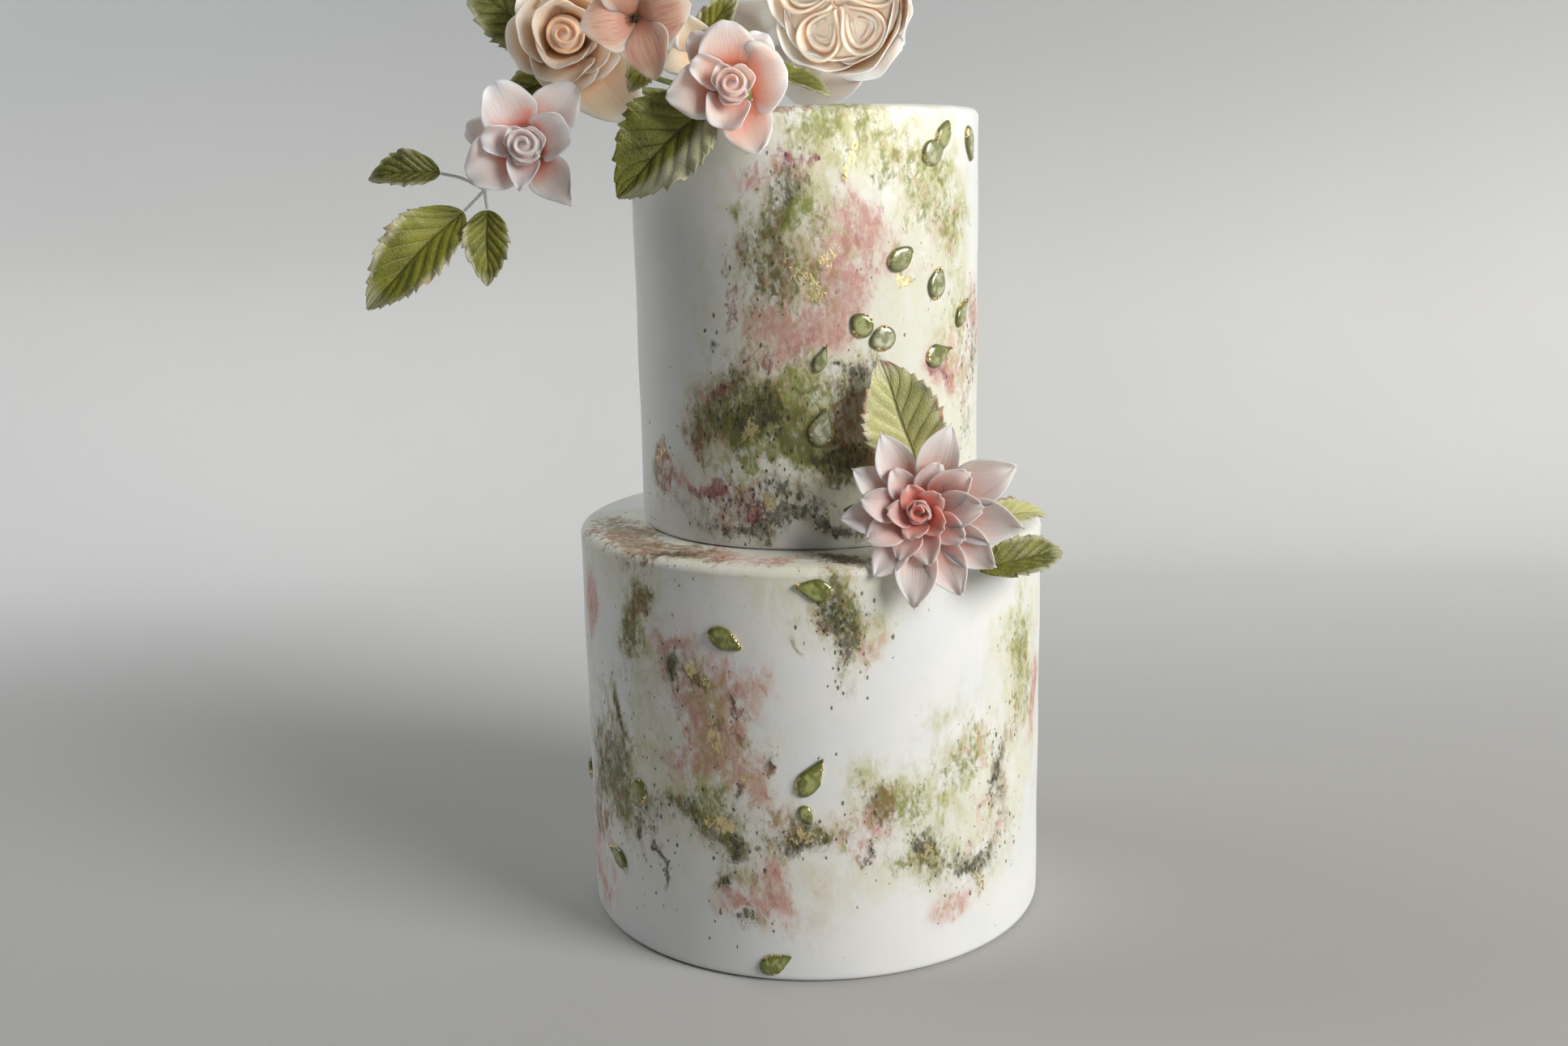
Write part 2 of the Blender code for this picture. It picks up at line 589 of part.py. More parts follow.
def build():
    for obj in list(bpy.data.objects):
        bpy.data.objects.remove(obj, do_unlink=True)
    cake = bpy.data.collections.new("wedding_cake")
    bpy.context.scene.collection.children.link(cake)

    icing = shade("icing", (0.83, 0.83, 0.80), 0.55)
    pink = shade("pink_sugar", (0.86, 0.62, 0.58), 0.6)
    peach = shade("peach_sugar", (0.92, 0.74, 0.60), 0.6)
    dusty = shade("dusty_sugar", (0.80, 0.60, 0.55), 0.6)
    green = shade("leaf_sugar", (0.35, 0.40, 0.13), 0.5)
    tape = shade("stem_tape", (0.30, 0.33, 0.14), 0.7)
    white = shade("white_wire", (0.80, 0.81, 0.82), 0.5)

    decorated_tier("lower_tier", LOWER_RADIUS, LOWER_HEIGHT, 0.0, LOWER_DROPS, 21.0, icing, cake)
    decorated_tier("upper_tier", UPPER_RADIUS, UPPER_HEIGHT, UPPER_FOOT, UPPER_DROPS, 31.0, icing, cake)

    flower = open_rose("pink_rose_right", PINK_RIGHT_PETALS, 7.0, pink, cake)
    faced(flower, Vector((-25.3, -66.5, 324.4)) * MM, (0.0, -1.0, 0.06))
    flower = open_rose("pink_rose_left", PINK_LEFT_PETALS, 7.6, pink, cake)
    faced(flower, Vector((-101.7, -36.0, 306.5)) * MM, (0.0, -1.0, 0.04))
    flower = peach_rose("peach_rose", peach, cake)
    faced(flower, Vector((-89.5, -5.0, 347.3)) * MM, (0.05, -1.0, 0.0))
    flower = garden_rose("garden_rose", peach, cake)
    faced(flower, Vector((21.6, 0.5, 359.5)) * MM, (-0.34, -0.93, -0.10))
    flower = blossom("blossom_large", LARGE_BLOSSOM, dusty, cake)
    faced(flower, Vector((-59.7, -49.0, 349.2)) * MM, (0.05, -1.0, -0.05))
    flower = blossom("blossom_small", SMALL_BLOSSOM, dusty, cake)
    faced(flower, Vector((-37.5, -31.0, 338.0)) * MM, (-0.1, -1.0, 0.0))
    flower = dahlia("dahlia", pink, cake)
    faced(flower, Vector((37.3, -84.8, 176.3)) * MM, (-0.12, -0.97, 0.22))

    for name, (base, tip, upper, width, arch, fold) in LEAVES.items():
        leaf(name, base, tip, upper, width, arch, fold, green, cake)
    stem_bundle("stems", TOP_STEMS, STEM_RADIUS, tape, cake)
    stem_bundle("leaf_wires", LEAF_WIRES, WIRE_RADIUS, white, cake)
    stem_bundle("dahlia_stem", [DAHLIA_STEM], STEM_RADIUS, tape, cake)


build()
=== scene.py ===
import math
import random

import bpy
import numpy as np
from mathutils import Matrix, Vector


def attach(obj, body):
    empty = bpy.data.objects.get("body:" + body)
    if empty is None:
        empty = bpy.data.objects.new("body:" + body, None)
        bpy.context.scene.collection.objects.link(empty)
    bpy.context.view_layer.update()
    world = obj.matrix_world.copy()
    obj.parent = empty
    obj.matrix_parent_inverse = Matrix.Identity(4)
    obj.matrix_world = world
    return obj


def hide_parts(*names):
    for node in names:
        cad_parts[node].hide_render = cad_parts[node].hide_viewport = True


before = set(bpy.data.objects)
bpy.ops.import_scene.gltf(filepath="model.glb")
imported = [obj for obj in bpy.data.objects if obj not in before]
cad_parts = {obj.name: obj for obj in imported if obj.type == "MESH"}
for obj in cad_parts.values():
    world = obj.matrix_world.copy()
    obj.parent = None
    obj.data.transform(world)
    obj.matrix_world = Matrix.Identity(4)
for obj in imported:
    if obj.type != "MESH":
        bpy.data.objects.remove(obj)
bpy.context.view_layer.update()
mm = 0.001


# Camera, light and stage

view = {
    "place": (-0.01075, -0.63591, 0.29338),
    "right": (0.9997952, -0.00429792, -0.01977568),
    "up": (0.02023734, 0.2123324, 0.97698792),
    "forward": (0.0, 0.97718805, -0.2123759),
    "lens": 36.48, "sensor": 36.0, "near": 0.01,
}
studio = {
    # place, size and power of each soft lamp
    "key": ((1.45, -1.0, 0.95), 1.1, 38.0), "keyColour": (1.0, 0.985, 0.96),
    "fill": ((-0.5, -1.6, 1.3), 1.2, 0.7), "fillColour": (0.96, 0.98, 1.0),
    "wash": ((-1.0, 0.30, 1.1), 0.8, 6.5), "washAt": (-0.35, 0.75, 0.0),
    # name, place, aim, spread in degrees, power and size of each narrow lamp
    "spots": [("roseSpot", (0.06, -0.75, 0.18), (0.015, 0.0, 0.350), 8.0, 0.012, 0.08),
              ("peachSpot", (-0.32, -0.75, 0.20), (-0.090, -0.02, 0.362), 3.4, 0.0030, 0.08)],
    "air": (0.80, 0.82, 0.84), "airStrength": 0.067,
    # floor, cove and wall colours of the sweep: the cove's lighter colour is a painted pool of light, and
    # the wall's darker colour higher up is painted shade
    "floor": (0.47, 0.465, 0.445), "cove": (0.74, 0.74, 0.73), "wall": (0.52, 0.535, 0.54),
    "cloud": (0.40, 0.40, 0.38), "floorFrom": -2.2, "wallAt": 0.75, "wallHeight": 2.6, "coveRadius": 0.25,
    "halfWidth": 2.4, "gap": 0.0004,
}


def connect(tree, sockets, values):
    # values: socket name or number -> a plain value, or another node's output
    for key, value in values.items():
        if isinstance(value, bpy.types.NodeSocket):
            tree.links.new(value, sockets[key])
        else:
            sockets[key].default_value = value


def addNode(tree, kind, wires=None, **settings):
    made = tree.nodes.new(kind)
    for key, value in settings.items():
        setattr(made, key, value)
    connect(tree, made.inputs, wires or {})
    return made


def treeOf(*values):
    return next(value.id_data for value in values if isinstance(value, bpy.types.NodeSocket))


def blendColour(share, under, over):
    under, over = [(*c, 1.0) if isinstance(c, tuple) else c for c in (under, over)]
    mix = addNode(treeOf(share, under, over), "ShaderNodeMix", {0: share, 6: under, 7: over},
                  data_type="RGBA")
    return mix.outputs[2]


def layered(colour, *layers):
    # lays colours over each other: each layer is its share and its colour
    for share, over in layers:
        colour = blendColour(share, colour, over)
    return colour


def remap(value, low, high, start=0.0, end=1.0):
    wires = {"Value": value, "From Min": low, "From Max": high, "To Min": start, "To Max": end}
    return addNode(value.id_data, "ShaderNodeMapRange", wires, interpolation_type="SMOOTHSTEP").outputs[0]


def arithmetic(operation, first, second=0.5):
    made = addNode(treeOf(first, second), "ShaderNodeMath", {0: first, 1: second}, operation=operation)
    return made.outputs[0]


def times(first, second):
    return arithmetic("MULTIPLY", first, second)


def plus(first, second):
    return arithmetic("ADD", first, second)


def minus(first, second):
    return arithmetic("SUBTRACT", first, second)


def noise(place, scale, detail, **more):
    wires = {"Vector": place, "Scale": scale, "Detail": detail, **more}
    return addNode(place.id_data, "ShaderNodeTexNoise", wires).outputs["Fac"]


def openTree(kind, name, inputs, outputs):
    # inputs and outputs: socket name -> its type, or the number that a float starts from
    tree = bpy.data.node_groups.new(name, kind)
    for way, sockets in (("INPUT", inputs), ("OUTPUT", outputs)):
        for label, value in sockets.items():
            word = value if isinstance(value, str) else "Float"
            socket = tree.interface.new_socket(name=label, in_out=way, socket_type="NodeSocket" + word)
            if word != value:
                socket.default_value = value
    return tree, tree.nodes.new("NodeGroupInput").outputs, tree.nodes.new("NodeGroupOutput").inputs


def useGroup(group, **wires):
    return addNode(treeOf(*wires.values()), "ShaderNodeGroup", wires, node_tree=group).outputs


def newMaterial(name):
    material = bpy.data.materials.new(name)
    material.use_nodes = True
    tree = material.node_tree
    place = addNode(tree, "ShaderNodeTexCoord").outputs["Object"]
    return material, tree.nodes["Principled BSDF"], place


def dress(surface, values, height, strength, distance):
    # the shader's values, with a bump from the height
    bump = addNode(height.id_data, "ShaderNodeBump",
                   {"Height": height, "Strength": strength, "Distance": distance})
    connect(height.id_data, surface.inputs, {**values, "Normal": bump.outputs[0]})


def readNumbers(surface, *names):
    return [addNode(surface.id_data, "ShaderNodeAttribute", attribute_name=name).outputs["Fac"]
            for name in names]


def readMap(surface):
    # across and along a petal or a leaf
    mapped = addNode(surface.id_data, "ShaderNodeUVMap", uv_map="petalMap").outputs[0]
    return addNode(surface.id_data, "ShaderNodeSeparateXYZ", {0: mapped}).outputs


def areaLight(name, spot, size, power, colour, aim=(0, 0, 0.2), spread=180.0):
    lamp = bpy.data.lights.new(name, "AREA")
    lamp.shape, lamp.size, lamp.spread = "DISK", size, math.radians(spread)
    lamp.energy, lamp.color = power, colour
    obj = bpy.data.objects.new(name, lamp)
    bpy.context.scene.collection.objects.link(obj)
    obj.location = spot
    obj.rotation_euler = (Vector(aim) - Vector(spot)).to_track_quat("-Z", "Y").to_euler()


def makeStudioLights():
    areaLight("windowLight", *studio["key"], studio["keyColour"])
    areaLight("fillLight", *studio["fill"], studio["fillColour"])
    areaLight("wallLight", *studio["wash"], studio["fillColour"], studio["washAt"])
    for name, spot, aim, spread, power, size in studio["spots"]:
        areaLight(name, spot, size, power, studio["keyColour"], aim, spread)
    world = bpy.data.worlds.new("softAir")
    world.use_nodes = True
    air = world.node_tree.nodes["Background"].inputs
    air[0].default_value, air[1].default_value = (*studio["air"], 1.0), studio["airStrength"]
    bpy.context.scene.world = world


def makeSweep():
    # floor and wall in one sheet, joined by a wide cove
    width, back, bend = studio["halfWidth"], studio["wallAt"], studio["coveRadius"]
    line = [(studio["floorFrom"], 0.0), (back - bend, 0.0)]
    line += [(back - bend + bend * math.sin(a), bend - bend * math.cos(a))
             for a in np.radians(range(5, 90, 5))]
    line += [(back, bend), (back, studio["wallHeight"])]
    points = [(side, y, z - studio["gap"]) for y, z in line for side in (-width, width)]
    faces = [(2 * i, 2 * i + 1, 2 * i + 3, 2 * i + 2) for i in range(len(line) - 1)]
    sheet = bpy.data.meshes.new("studioSweep")
    sheet.from_pydata(points, [], faces)
    sheet.shade_smooth()
    sweep = bpy.data.objects.new("studioSweep", sheet)
    bpy.context.scene.collection.objects.link(sweep)
    material, surface, place = newMaterial("paleSweep")
    cloud = noise(place, 2.2, 5.0)
    spot = addNode(place.id_data, "ShaderNodeSeparateXYZ", {0: place}).outputs
    # lighter from the floor into the cove and darker again up the wall: a painted pool of light in the cove
    # and painted shade towards the top
    base = blendColour(remap(spot[1], 0.05, 0.6), studio["floor"], studio["cove"])
    base = layered(base, (remap(spot[2], 0.15, 0.5), studio["wall"]),
                   (remap(cloud, 0.35, 0.7, 0.0, 0.10), studio["cloud"]))
    connect(place.id_data, surface.inputs, {"Base Color": base, "Roughness": 0.85})
    sheet.materials.append(material)


def makeStage():
    lens = bpy.data.cameras.new("photoCamera")
    lens.lens, lens.sensor_width, lens.clip_start = view["lens"], view["sensor"], view["near"]
    eye = bpy.data.objects.new("photoCamera", lens)
    bpy.context.scene.collection.objects.link(eye)
    turn = Matrix((view["right"], view["up"], [-x for x in view["forward"]])).transposed().to_4x4()
    eye.matrix_world = Matrix.Translation(view["place"]) @ turn
    bpy.context.scene.camera = eye
    bpy.context.scene.view_settings.view_transform = "Standard"
    makeStudioLights()
    makeSweep()


makeStage()
print("stage: camera, lights and sweep")


# Shader groups shared by the sugar, icing and jelly

def makeStainGroup():
    # a painted patch: a soft mask broken up by a cloud and by finer dabs
    group, given, result = openTree("ShaderNodeTree", "washStain", {
        "Place": "Vector", "Mask": 0.0, "Scale": 90.0, "Dabs": 0.5, "Low": 0.35, "High": 0.9},
        {"Stain": "Float"})
    cloud = noise(given["Place"], given["Scale"], 6.0, Roughness=0.6, Distortion=0.6)
    dabs = noise(given["Place"], times(given["Scale"], 3.8), 6.0, Roughness=0.66, Distortion=0.5)
    mottle = remap(dabs, 0.36, 0.62, 0.45, 1.0)
    cloud, dabs = times(minus(cloud, 0.5), 2.2), times(minus(dabs, 0.5), 3.0)
    both = times(plus(cloud, times(dabs, given["Dabs"])), remap(given["Mask"], 0.0, 0.4))
    broken = plus(given["Mask"], both)
    group.links.new(times(remap(broken, given["Low"], given["High"]), mottle), result["Stain"])
    return group


def makeSpeckGroup():
    # scattered dots, more of them where the mask is strong
    group, given, result = openTree("ShaderNodeTree", "paintSpecks", {
        "Place": "Vector", "Mask": 0.0, "Scale": 500.0, "Size": 0.3}, {"Specks": "Float"})
    wobble = addNode(group, "ShaderNodeTexNoise", {"Vector": given["Place"], "Scale": 900.0, "Detail": 2.0})
    shifted = addNode(group, "ShaderNodeVectorMath", {0: wobble.outputs["Color"], 3: 0.0009},
                      operation="SCALE")
    moved = addNode(group, "ShaderNodeVectorMath", {0: given["Place"], 1: shifted.outputs[0]},
                    operation="ADD")
    cells = addNode(group, "ShaderNodeTexVoronoi", {"Vector": moved.outputs[0], "Scale": given["Scale"]})
    lot = addNode(group, "ShaderNodeSeparateXYZ", {0: cells.outputs["Color"]}).outputs
    size = times(given["Size"], plus(lot[1], 0.35))
    near = remap(minus(cells.outputs["Distance"], size), -0.08, 0.04, 1.0, 0.0)
    group.links.new(times(near, arithmetic("LESS_THAN", lot[0], given["Mask"])), result["Specks"])
    return group


def makeGrainGroup():
    # the fine matt tooth of rolled sugar paste, with a broader unevenness under it
    group, given, result = openTree("ShaderNodeTree", "pasteGrain", {
        "Place": "Vector", "Fine": 1800.0, "Broad": 60.0, "Share": 0.3},
        {"Height": "Float", "Cloud": "Float"})
    fine, broad = noise(given["Place"], given["Fine"], 3.0), noise(given["Place"], given["Broad"], 4.0)
    both = addNode(group, "ShaderNodeMix", {0: given["Share"], 2: broad, 3: fine}).outputs[0]
    connect(group, result, {"Height": both, "Cloud": broad})
    return group


def makeVeinGroup():
    # fine lines that run up a petal and fan out with it
    group, given, result = openTree("ShaderNodeTree", "petalVeins", {
        "Across": 0.0, "Along": 0.0, "Tone": 0.0, "Count": 14.0, "Width": 0.5}, {"Veins": "Float"})
    where = addNode(group, "ShaderNodeCombineXYZ", {
        0: given["Across"], 1: times(given["Along"], 0.05), 2: given["Tone"]}).outputs[0]
    lines = noise(where, given["Count"], 2.0, Roughness=0.6, Distortion=0.08)
    sharp = arithmetic("ABSOLUTE", minus(lines, 0.5))
    group.links.new(remap(sharp, 0.0, times(given["Width"], 0.12), 1.0, 0.0), result["Veins"])
    return group


stainGroup, speckGroup = makeStainGroup(), makeSpeckGroup()
grainGroup, veinGroup = makeGrainGroup(), makeVeinGroup()


# Meshes: thin shells with a rounded rim, kept as arrays until they are joined

def vary(seed, index):
    wave = math.sin(seed * 12.9898 + index * 78.233) * 43758.5453
    return 2.0 * (wave - math.floor(wave)) - 1.0


def smooth(low, high, x):
    t = np.clip((x - low) / (high - low), 0.0, 1.0)
    return t * t * (3.0 - 2.0 * t)


def placed(shell, matrix):
    turn = np.array(matrix, float)
    shell["points"] = shell["points"] @ turn[:3, :3].T + turn[:3, 3]
    return shell


def facing(spot, way):
    return Matrix.Translation(Vector(spot) * mm) @ Vector(way).to_track_quat("Z", "Y").to_matrix().to_4x4()


def sheetShell(surface, columns, rows, thick, rimThick=0.6, tone=0.0, look=0):
    # surface(u, v) gives points for u from -1 to 1 and v from 0 to 1; +normal is the back, -normal the front
    u, v = np.meshgrid(np.linspace(-1, 1, columns + 1), np.linspace(0, 1, rows + 1))
    middle = surface(u, v)
    normal = np.cross(np.gradient(middle, axis=1), np.gradient(middle, axis=0))
    normal /= np.maximum(np.linalg.norm(normal, axis=2, keepdims=True), 1e-12)
    rim = np.maximum(smooth(0.55, 1.0, np.abs(u)) * smooth(0.05, 0.35, v), smooth(0.66, 1.0, v))
    half = 0.5 * thick * (1.0 - (1.0 - rimThick) * rim)[..., None]
    backFace, frontFace = middle + normal * half, middle - normal * half
    index = np.arange((rows + 1) * (columns + 1)).reshape(rows + 1, columns + 1)
    loop = np.concatenate([index[0, :-1], index[:-1, -1], index[-1, :0:-1], index[:0:-1, 0]])
    flat, inner = middle.reshape(-1, 3), np.empty(len(index.ravel()), int)
    inner[index[0]], inner[index[-1]] = index[1], index[-2]
    inner[index[1:-1, 0]], inner[index[1:-1, -1]] = index[1:-1, 1], index[1:-1, -2]
    for corner, inside in (((0, 0), (1, 1)), ((0, -1), (1, -2)), ((-1, 0), (-2, 1)), ((-1, -1), (-2, -2))):
        inner[index[corner]] = index[inside]
    out = flat[loop] - flat[inner[loop]]
    out /= np.maximum(np.linalg.norm(out, axis=1, keepdims=True), 1e-12)
    edge = flat[loop] + out * half.reshape(-1, 1)[loop] * 0.8
    count = len(flat)
    corners = [index[:-1, :-1], index[:-1, 1:], index[1:, 1:], index[1:, :-1]]
    quads = np.stack(corners, axis=-1).reshape(-1, 4)
    after = np.roll(loop, -1)
    ring = 2 * count + np.arange(len(loop))
    ringAfter = np.roll(ring, -1)
    quads = np.concatenate([quads, quads[:, ::-1] + count,
                            np.stack([ring, ringAfter, after, loop], axis=-1),
                            np.stack([loop + count, after + count, ringAfter, ring], axis=-1)])
    uv = np.stack([u.ravel() * 0.5 + 0.5, v.ravel()], axis=-1)
    rim = rim.ravel()
    return {
        "points": np.concatenate([backFace.reshape(-1, 3), frontFace.reshape(-1, 3), edge]), "quads": quads,
        "tris": np.zeros((0, 3), int), "uv": np.concatenate([uv, uv, uv[loop]]), "look": look, "tone": tone,
        "rim": np.concatenate([rim, rim, rim[loop]]),
        "front": np.concatenate([np.zeros(count), np.ones(count), np.full(len(loop), 0.5)]),
    }


def latheShell(profile, steps, tone=0.0, look=0):
    # a closed solid of revolution; the profile's (radius, height) pairs run from the top pole to the bottom
    # one, and steps is a number of even steps or the angles themselves
    rings = np.array(profile[1:-1])
    angles = np.arange(steps) * 2 * math.pi / steps if isinstance(steps, int) else steps
    steps = len(angles)
    points = np.stack([rings[:, :1] * np.cos(angles), rings[:, :1] * np.sin(angles),
                       np.repeat(rings[:, 1:], steps, axis=1)], axis=-1).reshape(-1, 3)
    index = np.arange(len(points)).reshape(len(rings), steps)
    after = np.roll(index, -1, axis=1)
    quads = np.stack([index[:-1], index[1:], after[1:], after[:-1]], axis=-1).reshape(-1, 4)
    top, bottom = len(points), len(points) + 1
    tris = np.concatenate([np.stack([np.full(steps, top), index[0], after[0]], axis=-1),
                           np.stack([np.full(steps, bottom), after[-1], index[-1]], axis=-1)])
    points = np.concatenate([points, [(0, 0, profile[0][1]), (0, 0, profile[-1][1])]])
    uv = np.zeros((len(points), 2))
    uv[:-2, 0] = np.tile(angles / (2 * math.pi), len(rings))
    uv[:-2, 1] = np.repeat(np.linspace(0, 1, len(rings)), steps)
    zero = np.zeros(len(points))
    return {"points": points, "quads": quads, "tris": tris, "uv": uv, "rim": zero, "front": zero,
            "tone": tone, "look": look}


def turnedShell(pairs, steps, tone=0.0, look=0):
    return latheShell([(r * mm, h * mm) for r, h in pairs], steps, tone, look)


def joinShells(name, shells, materials, extra=None):
    start, points, faces, slots = 0, [], [], []
    for shell in shells:
        points.append(shell["points"])
        for kind in ("quads", "tris"):
            faces += (shell[kind] + start).tolist()
            slots += [shell["look"]] * len(shell[kind])
        start += len(shell["points"])
    mesh = bpy.data.meshes.new(name)
    mesh.from_pydata(np.concatenate(points).tolist(), [], faces)
    for material in materials:
        mesh.materials.append(material)
    mesh.polygons.foreach_set("material_index", slots)
    numbers = {key: np.concatenate([s[key] for s in shells]) for key in ("rim", "front")}
    numbers["tone"] = np.concatenate([np.full(len(s["points"]), s["tone"]) for s in shells])
    numbers.update(extra or {})
    for key, values in numbers.items():
        mesh.attributes.new(key, "FLOAT", "POINT").data.foreach_set("value", values.astype(np.float32))
    corner = np.zeros(len(mesh.loops), int)
    mesh.loops.foreach_get("vertex_index", corner)
    uv = np.concatenate([s["uv"] for s in shells])
    mesh.uv_layers.new(name="petalMap").data.foreach_set("uv", uv[corner].ravel().astype(np.float32))
    mesh.shade_smooth()
    obj = bpy.data.objects.new(name, mesh)
    bpy.context.scene.collection.objects.link(obj)
    return obj


def finishPiece(obj, slot, *nodes):
    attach(obj, "root")
    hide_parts(*nodes)
    print(f"{obj.name}: {len(obj.data.polygons)} faces")
    return obj


# Petals: the same curves as the solids, with ruffles, rolled lips and nibs added

petal = {
    "open": (38, 78, 92), "start": 2.0, "lift": 0.0, "cup": 0.6, "drop": 0.0, "belly": 0.55, "narrow": 0.25,
    "end": 0.6, "curl": 0.0, "spiral": 0.0, "lip": 14.0, "ruffle": 0.95, "nib": 0.03, "thick": 0.9,
    "phase": 0.0,
}


def petalSurface(p, u, v):
    first, middle, last = (math.radians(a) for a in p["open"])
    size = np.abs(u)
    along = v * (1 - p["drop"] * size ** 3 + p["nib"] * np.exp(-(u / 0.22) ** 2) * v ** 4)
    radius, height = np.full_like(u, p["start"]), np.full_like(u, p["lift"])
    steps = 14
    for step in range(steps):
        s = along * (step + 0.5) / steps
        angle = first * (1 - s) ** 2 + 2 * middle * s * (1 - s) + last * s * s
        angle = angle + math.radians(p["lip"]) * smooth(0.72, 1.0, s) * (1 - 0.6 * size)
        radius = radius + p["length"] * along / steps * np.sin(angle)
        height = height + p["length"] * along / steps * np.cos(angle)
    belly, narrow, end = p["belly"], p["narrow"], p["end"]
    rise = narrow + (1 - narrow) * np.sin(0.5 * math.pi * np.minimum(v, belly) / belly)
    fall = end + (1 - end) * np.cos(0.5 * math.pi * np.maximum(v - belly, 0) / (1 - belly))
    bendRadius = 0.5 * p["width"] / p["cup"]
    bend = u * p["cup"] * np.where(v < belly, rise, fall)
    inward = bendRadius * (1 - np.cos(bend)) - p["curl"] * size ** 4 * v + p["spiral"] * u
    wave = np.sin(7.5 * v + 2.1 * u + p["phase"]) * size ** 2 * v
    wave = wave + 0.6 * np.sin(5.2 * u + 2 * p["phase"]) * v ** 4
    inward = inward + p["ruffle"] * wave
    points = [radius - inward * np.cos(angle), bendRadius * np.sin(bend), height + inward * np.sin(angle)]
    return np.stack(points, axis=-1) * mm


def petalShell(settings, angle, columns=20, rows=20, tone=0.0, look=0):
    p = {**petal, **settings, "phase": 6.3 * tone + math.radians(angle)}
    shell = sheetShell(lambda u, v: petalSurface(p, u, v), columns, rows, p["thick"] * mm, 0.5, tone, look)
    return placed(shell, Matrix.Rotation(math.radians(angle), 4, "Z"))


def heartShell(inner, outer, turns, foot, depth, segments=110, flare=0.5, tone=0.3, look=0):
    # the rolled heart: one ribbon wound outwards, its rim turned out a little
    def surface(u, v):
        share = (u + 1) / 2
        angle = 2 * math.pi * turns * share
        rim = (inner + (outer - inner) * share) * (1 + 0.05 * np.sin(2.3 * angle))
        radius = rim * (0.6 + 0.4 * v) + flare * v ** 8
        height = foot + depth * v * (1 - 0.2 * share) + 0.35 * np.sin(1.7 * angle) * v
        return np.stack([radius * np.cos(angle), radius * np.sin(angle), height], axis=-1) * mm

    shell = sheetShell(surface, segments, 10, 1.1 * mm, 0.8, tone, look)
    shell["uv"][:, 1] *= 0.6
    shell["rim"] *= 0.3
    return shell


# radius and height, as shares of the size
receptacle = [(0, .36), (.3, .36), (.6, .30), (.9, .17), (1, .06), (1, -.06), (.85, -.2), (.6, -.36),
              (.45, -.45), (.23, -.64), (0, -.64)]


def calyxShell(size, look=1):
    return turnedShell([(r * size, h * size) for r, h in receptacle], 28, 0.3, look)


def coreShell(radius, top, look=0, glow=0.22):
    # fills a bud just under its rims, in the colour of the heart
    line = [(0, top), (0.35 * radius, top - 0.2), (0.7 * radius, top - 1.0), (radius, top - 2.6),
            (radius, 0.5 * top), (0.5 * radius, 0.3 * top), (0, 0.3 * top)]
    shell = turnedShell(line, 24, 0.4, look)
    shell["uv"][:, 1] *= glow
    shell["front"] += 1.0
    return shell


def ringShells(count, rim, length, opening, first, lift, start, **changes):
    shells, half = [], 1.22 * math.pi / count
    for index in range(count):
        settings = {"length": length * (1 + 0.05 * vary(rim, index)), "width": 2 * rim * half,
                    "open": opening, "lift": lift, "cup": half, "drop": 0.12, "end": 0.75, "spiral": 1.4,
                    "start": start, **changes}
        angle = first + 360 * index / count + 4 * vary(count, index)
        shells.append(petalShell(settings, angle, 26, 16, 0.5 + 0.5 * vary(rim + 3, index)))
    return shells


# Sugar finishes: colours run from the heart of a flower to the rims of its petals

sugarLooks = {
    "pinkSugar": {"heart": (0.80, 0.27, 0.21), "body": (0.87, 0.73, 0.71), "rim": (0.91, 0.87, 0.87),
                  "back": (0.89, 0.81, 0.80), "reach": 0.66, "veins": 0.08,
                  "veinColour": (0.76, 0.40, 0.38), "veinCount": 12.0},
    "salmonSugar": {"heart": (0.82, 0.27, 0.16), "body": (0.82, 0.60, 0.53), "rim": (0.88, 0.81, 0.79),
                    "back": (0.84, 0.72, 0.69), "reach": 0.80, "veins": 0.10,
                    "veinColour": (0.74, 0.36, 0.28), "veinCount": 12.0},
    "peachSugar": {"heart": (0.93, 0.43, 0.19), "body": (0.93, 0.68, 0.49), "rim": (0.94, 0.86, 0.79),
                   "back": (0.93, 0.83, 0.72), "reach": 0.70, "veins": 0.06,
                   "veinColour": (0.85, 0.52, 0.34), "veinCount": 10.0},
    "creamSugar": {"heart": (0.92, 0.58, 0.34), "body": (0.89, 0.80, 0.71), "rim": (0.90, 0.88, 0.85),
                   "back": (0.88, 0.85, 0.81), "reach": 0.6, "veins": 0.10,
                   "veinColour": (0.78, 0.68, 0.60), "veinCount": 12.0},
    "foldSugar": {"heart": (0.95, 0.40, 0.18), "body": (0.95, 0.60, 0.39), "rim": (0.94, 0.79, 0.67),
                  "back": (0.95, 0.64, 0.44), "reach": 0.85, "veins": 0.05,
                  "veinColour": (0.85, 0.46, 0.30), "veinCount": 8.0},
    "dahliaSugar": {"heart": (0.80, 0.22, 0.16), "body": (0.84, 0.56, 0.51), "rim": (0.86, 0.78, 0.76),
                    "back": (0.84, 0.73, 0.71), "reach": 1.15, "veins": 0.14,
                    "veinColour": (0.72, 0.36, 0.30), "veinCount": 9.0, "shift": 0.9, "tint": 0.85},
    # the large blossom's sugar: a dusty rose-brown, made darker still as painted shade over the whole flower
    "dustyShadedSugar": {"heart": (0.42, 0.15, 0.08), "body": (0.63, 0.38, 0.28), "rim": (0.78, 0.62, 0.54),
                   "back": (0.74, 0.57, 0.49), "reach": 0.45, "veins": 0.7,
                   "veinColour": (0.52, 0.25, 0.19), "veinCount": 13.0},
}


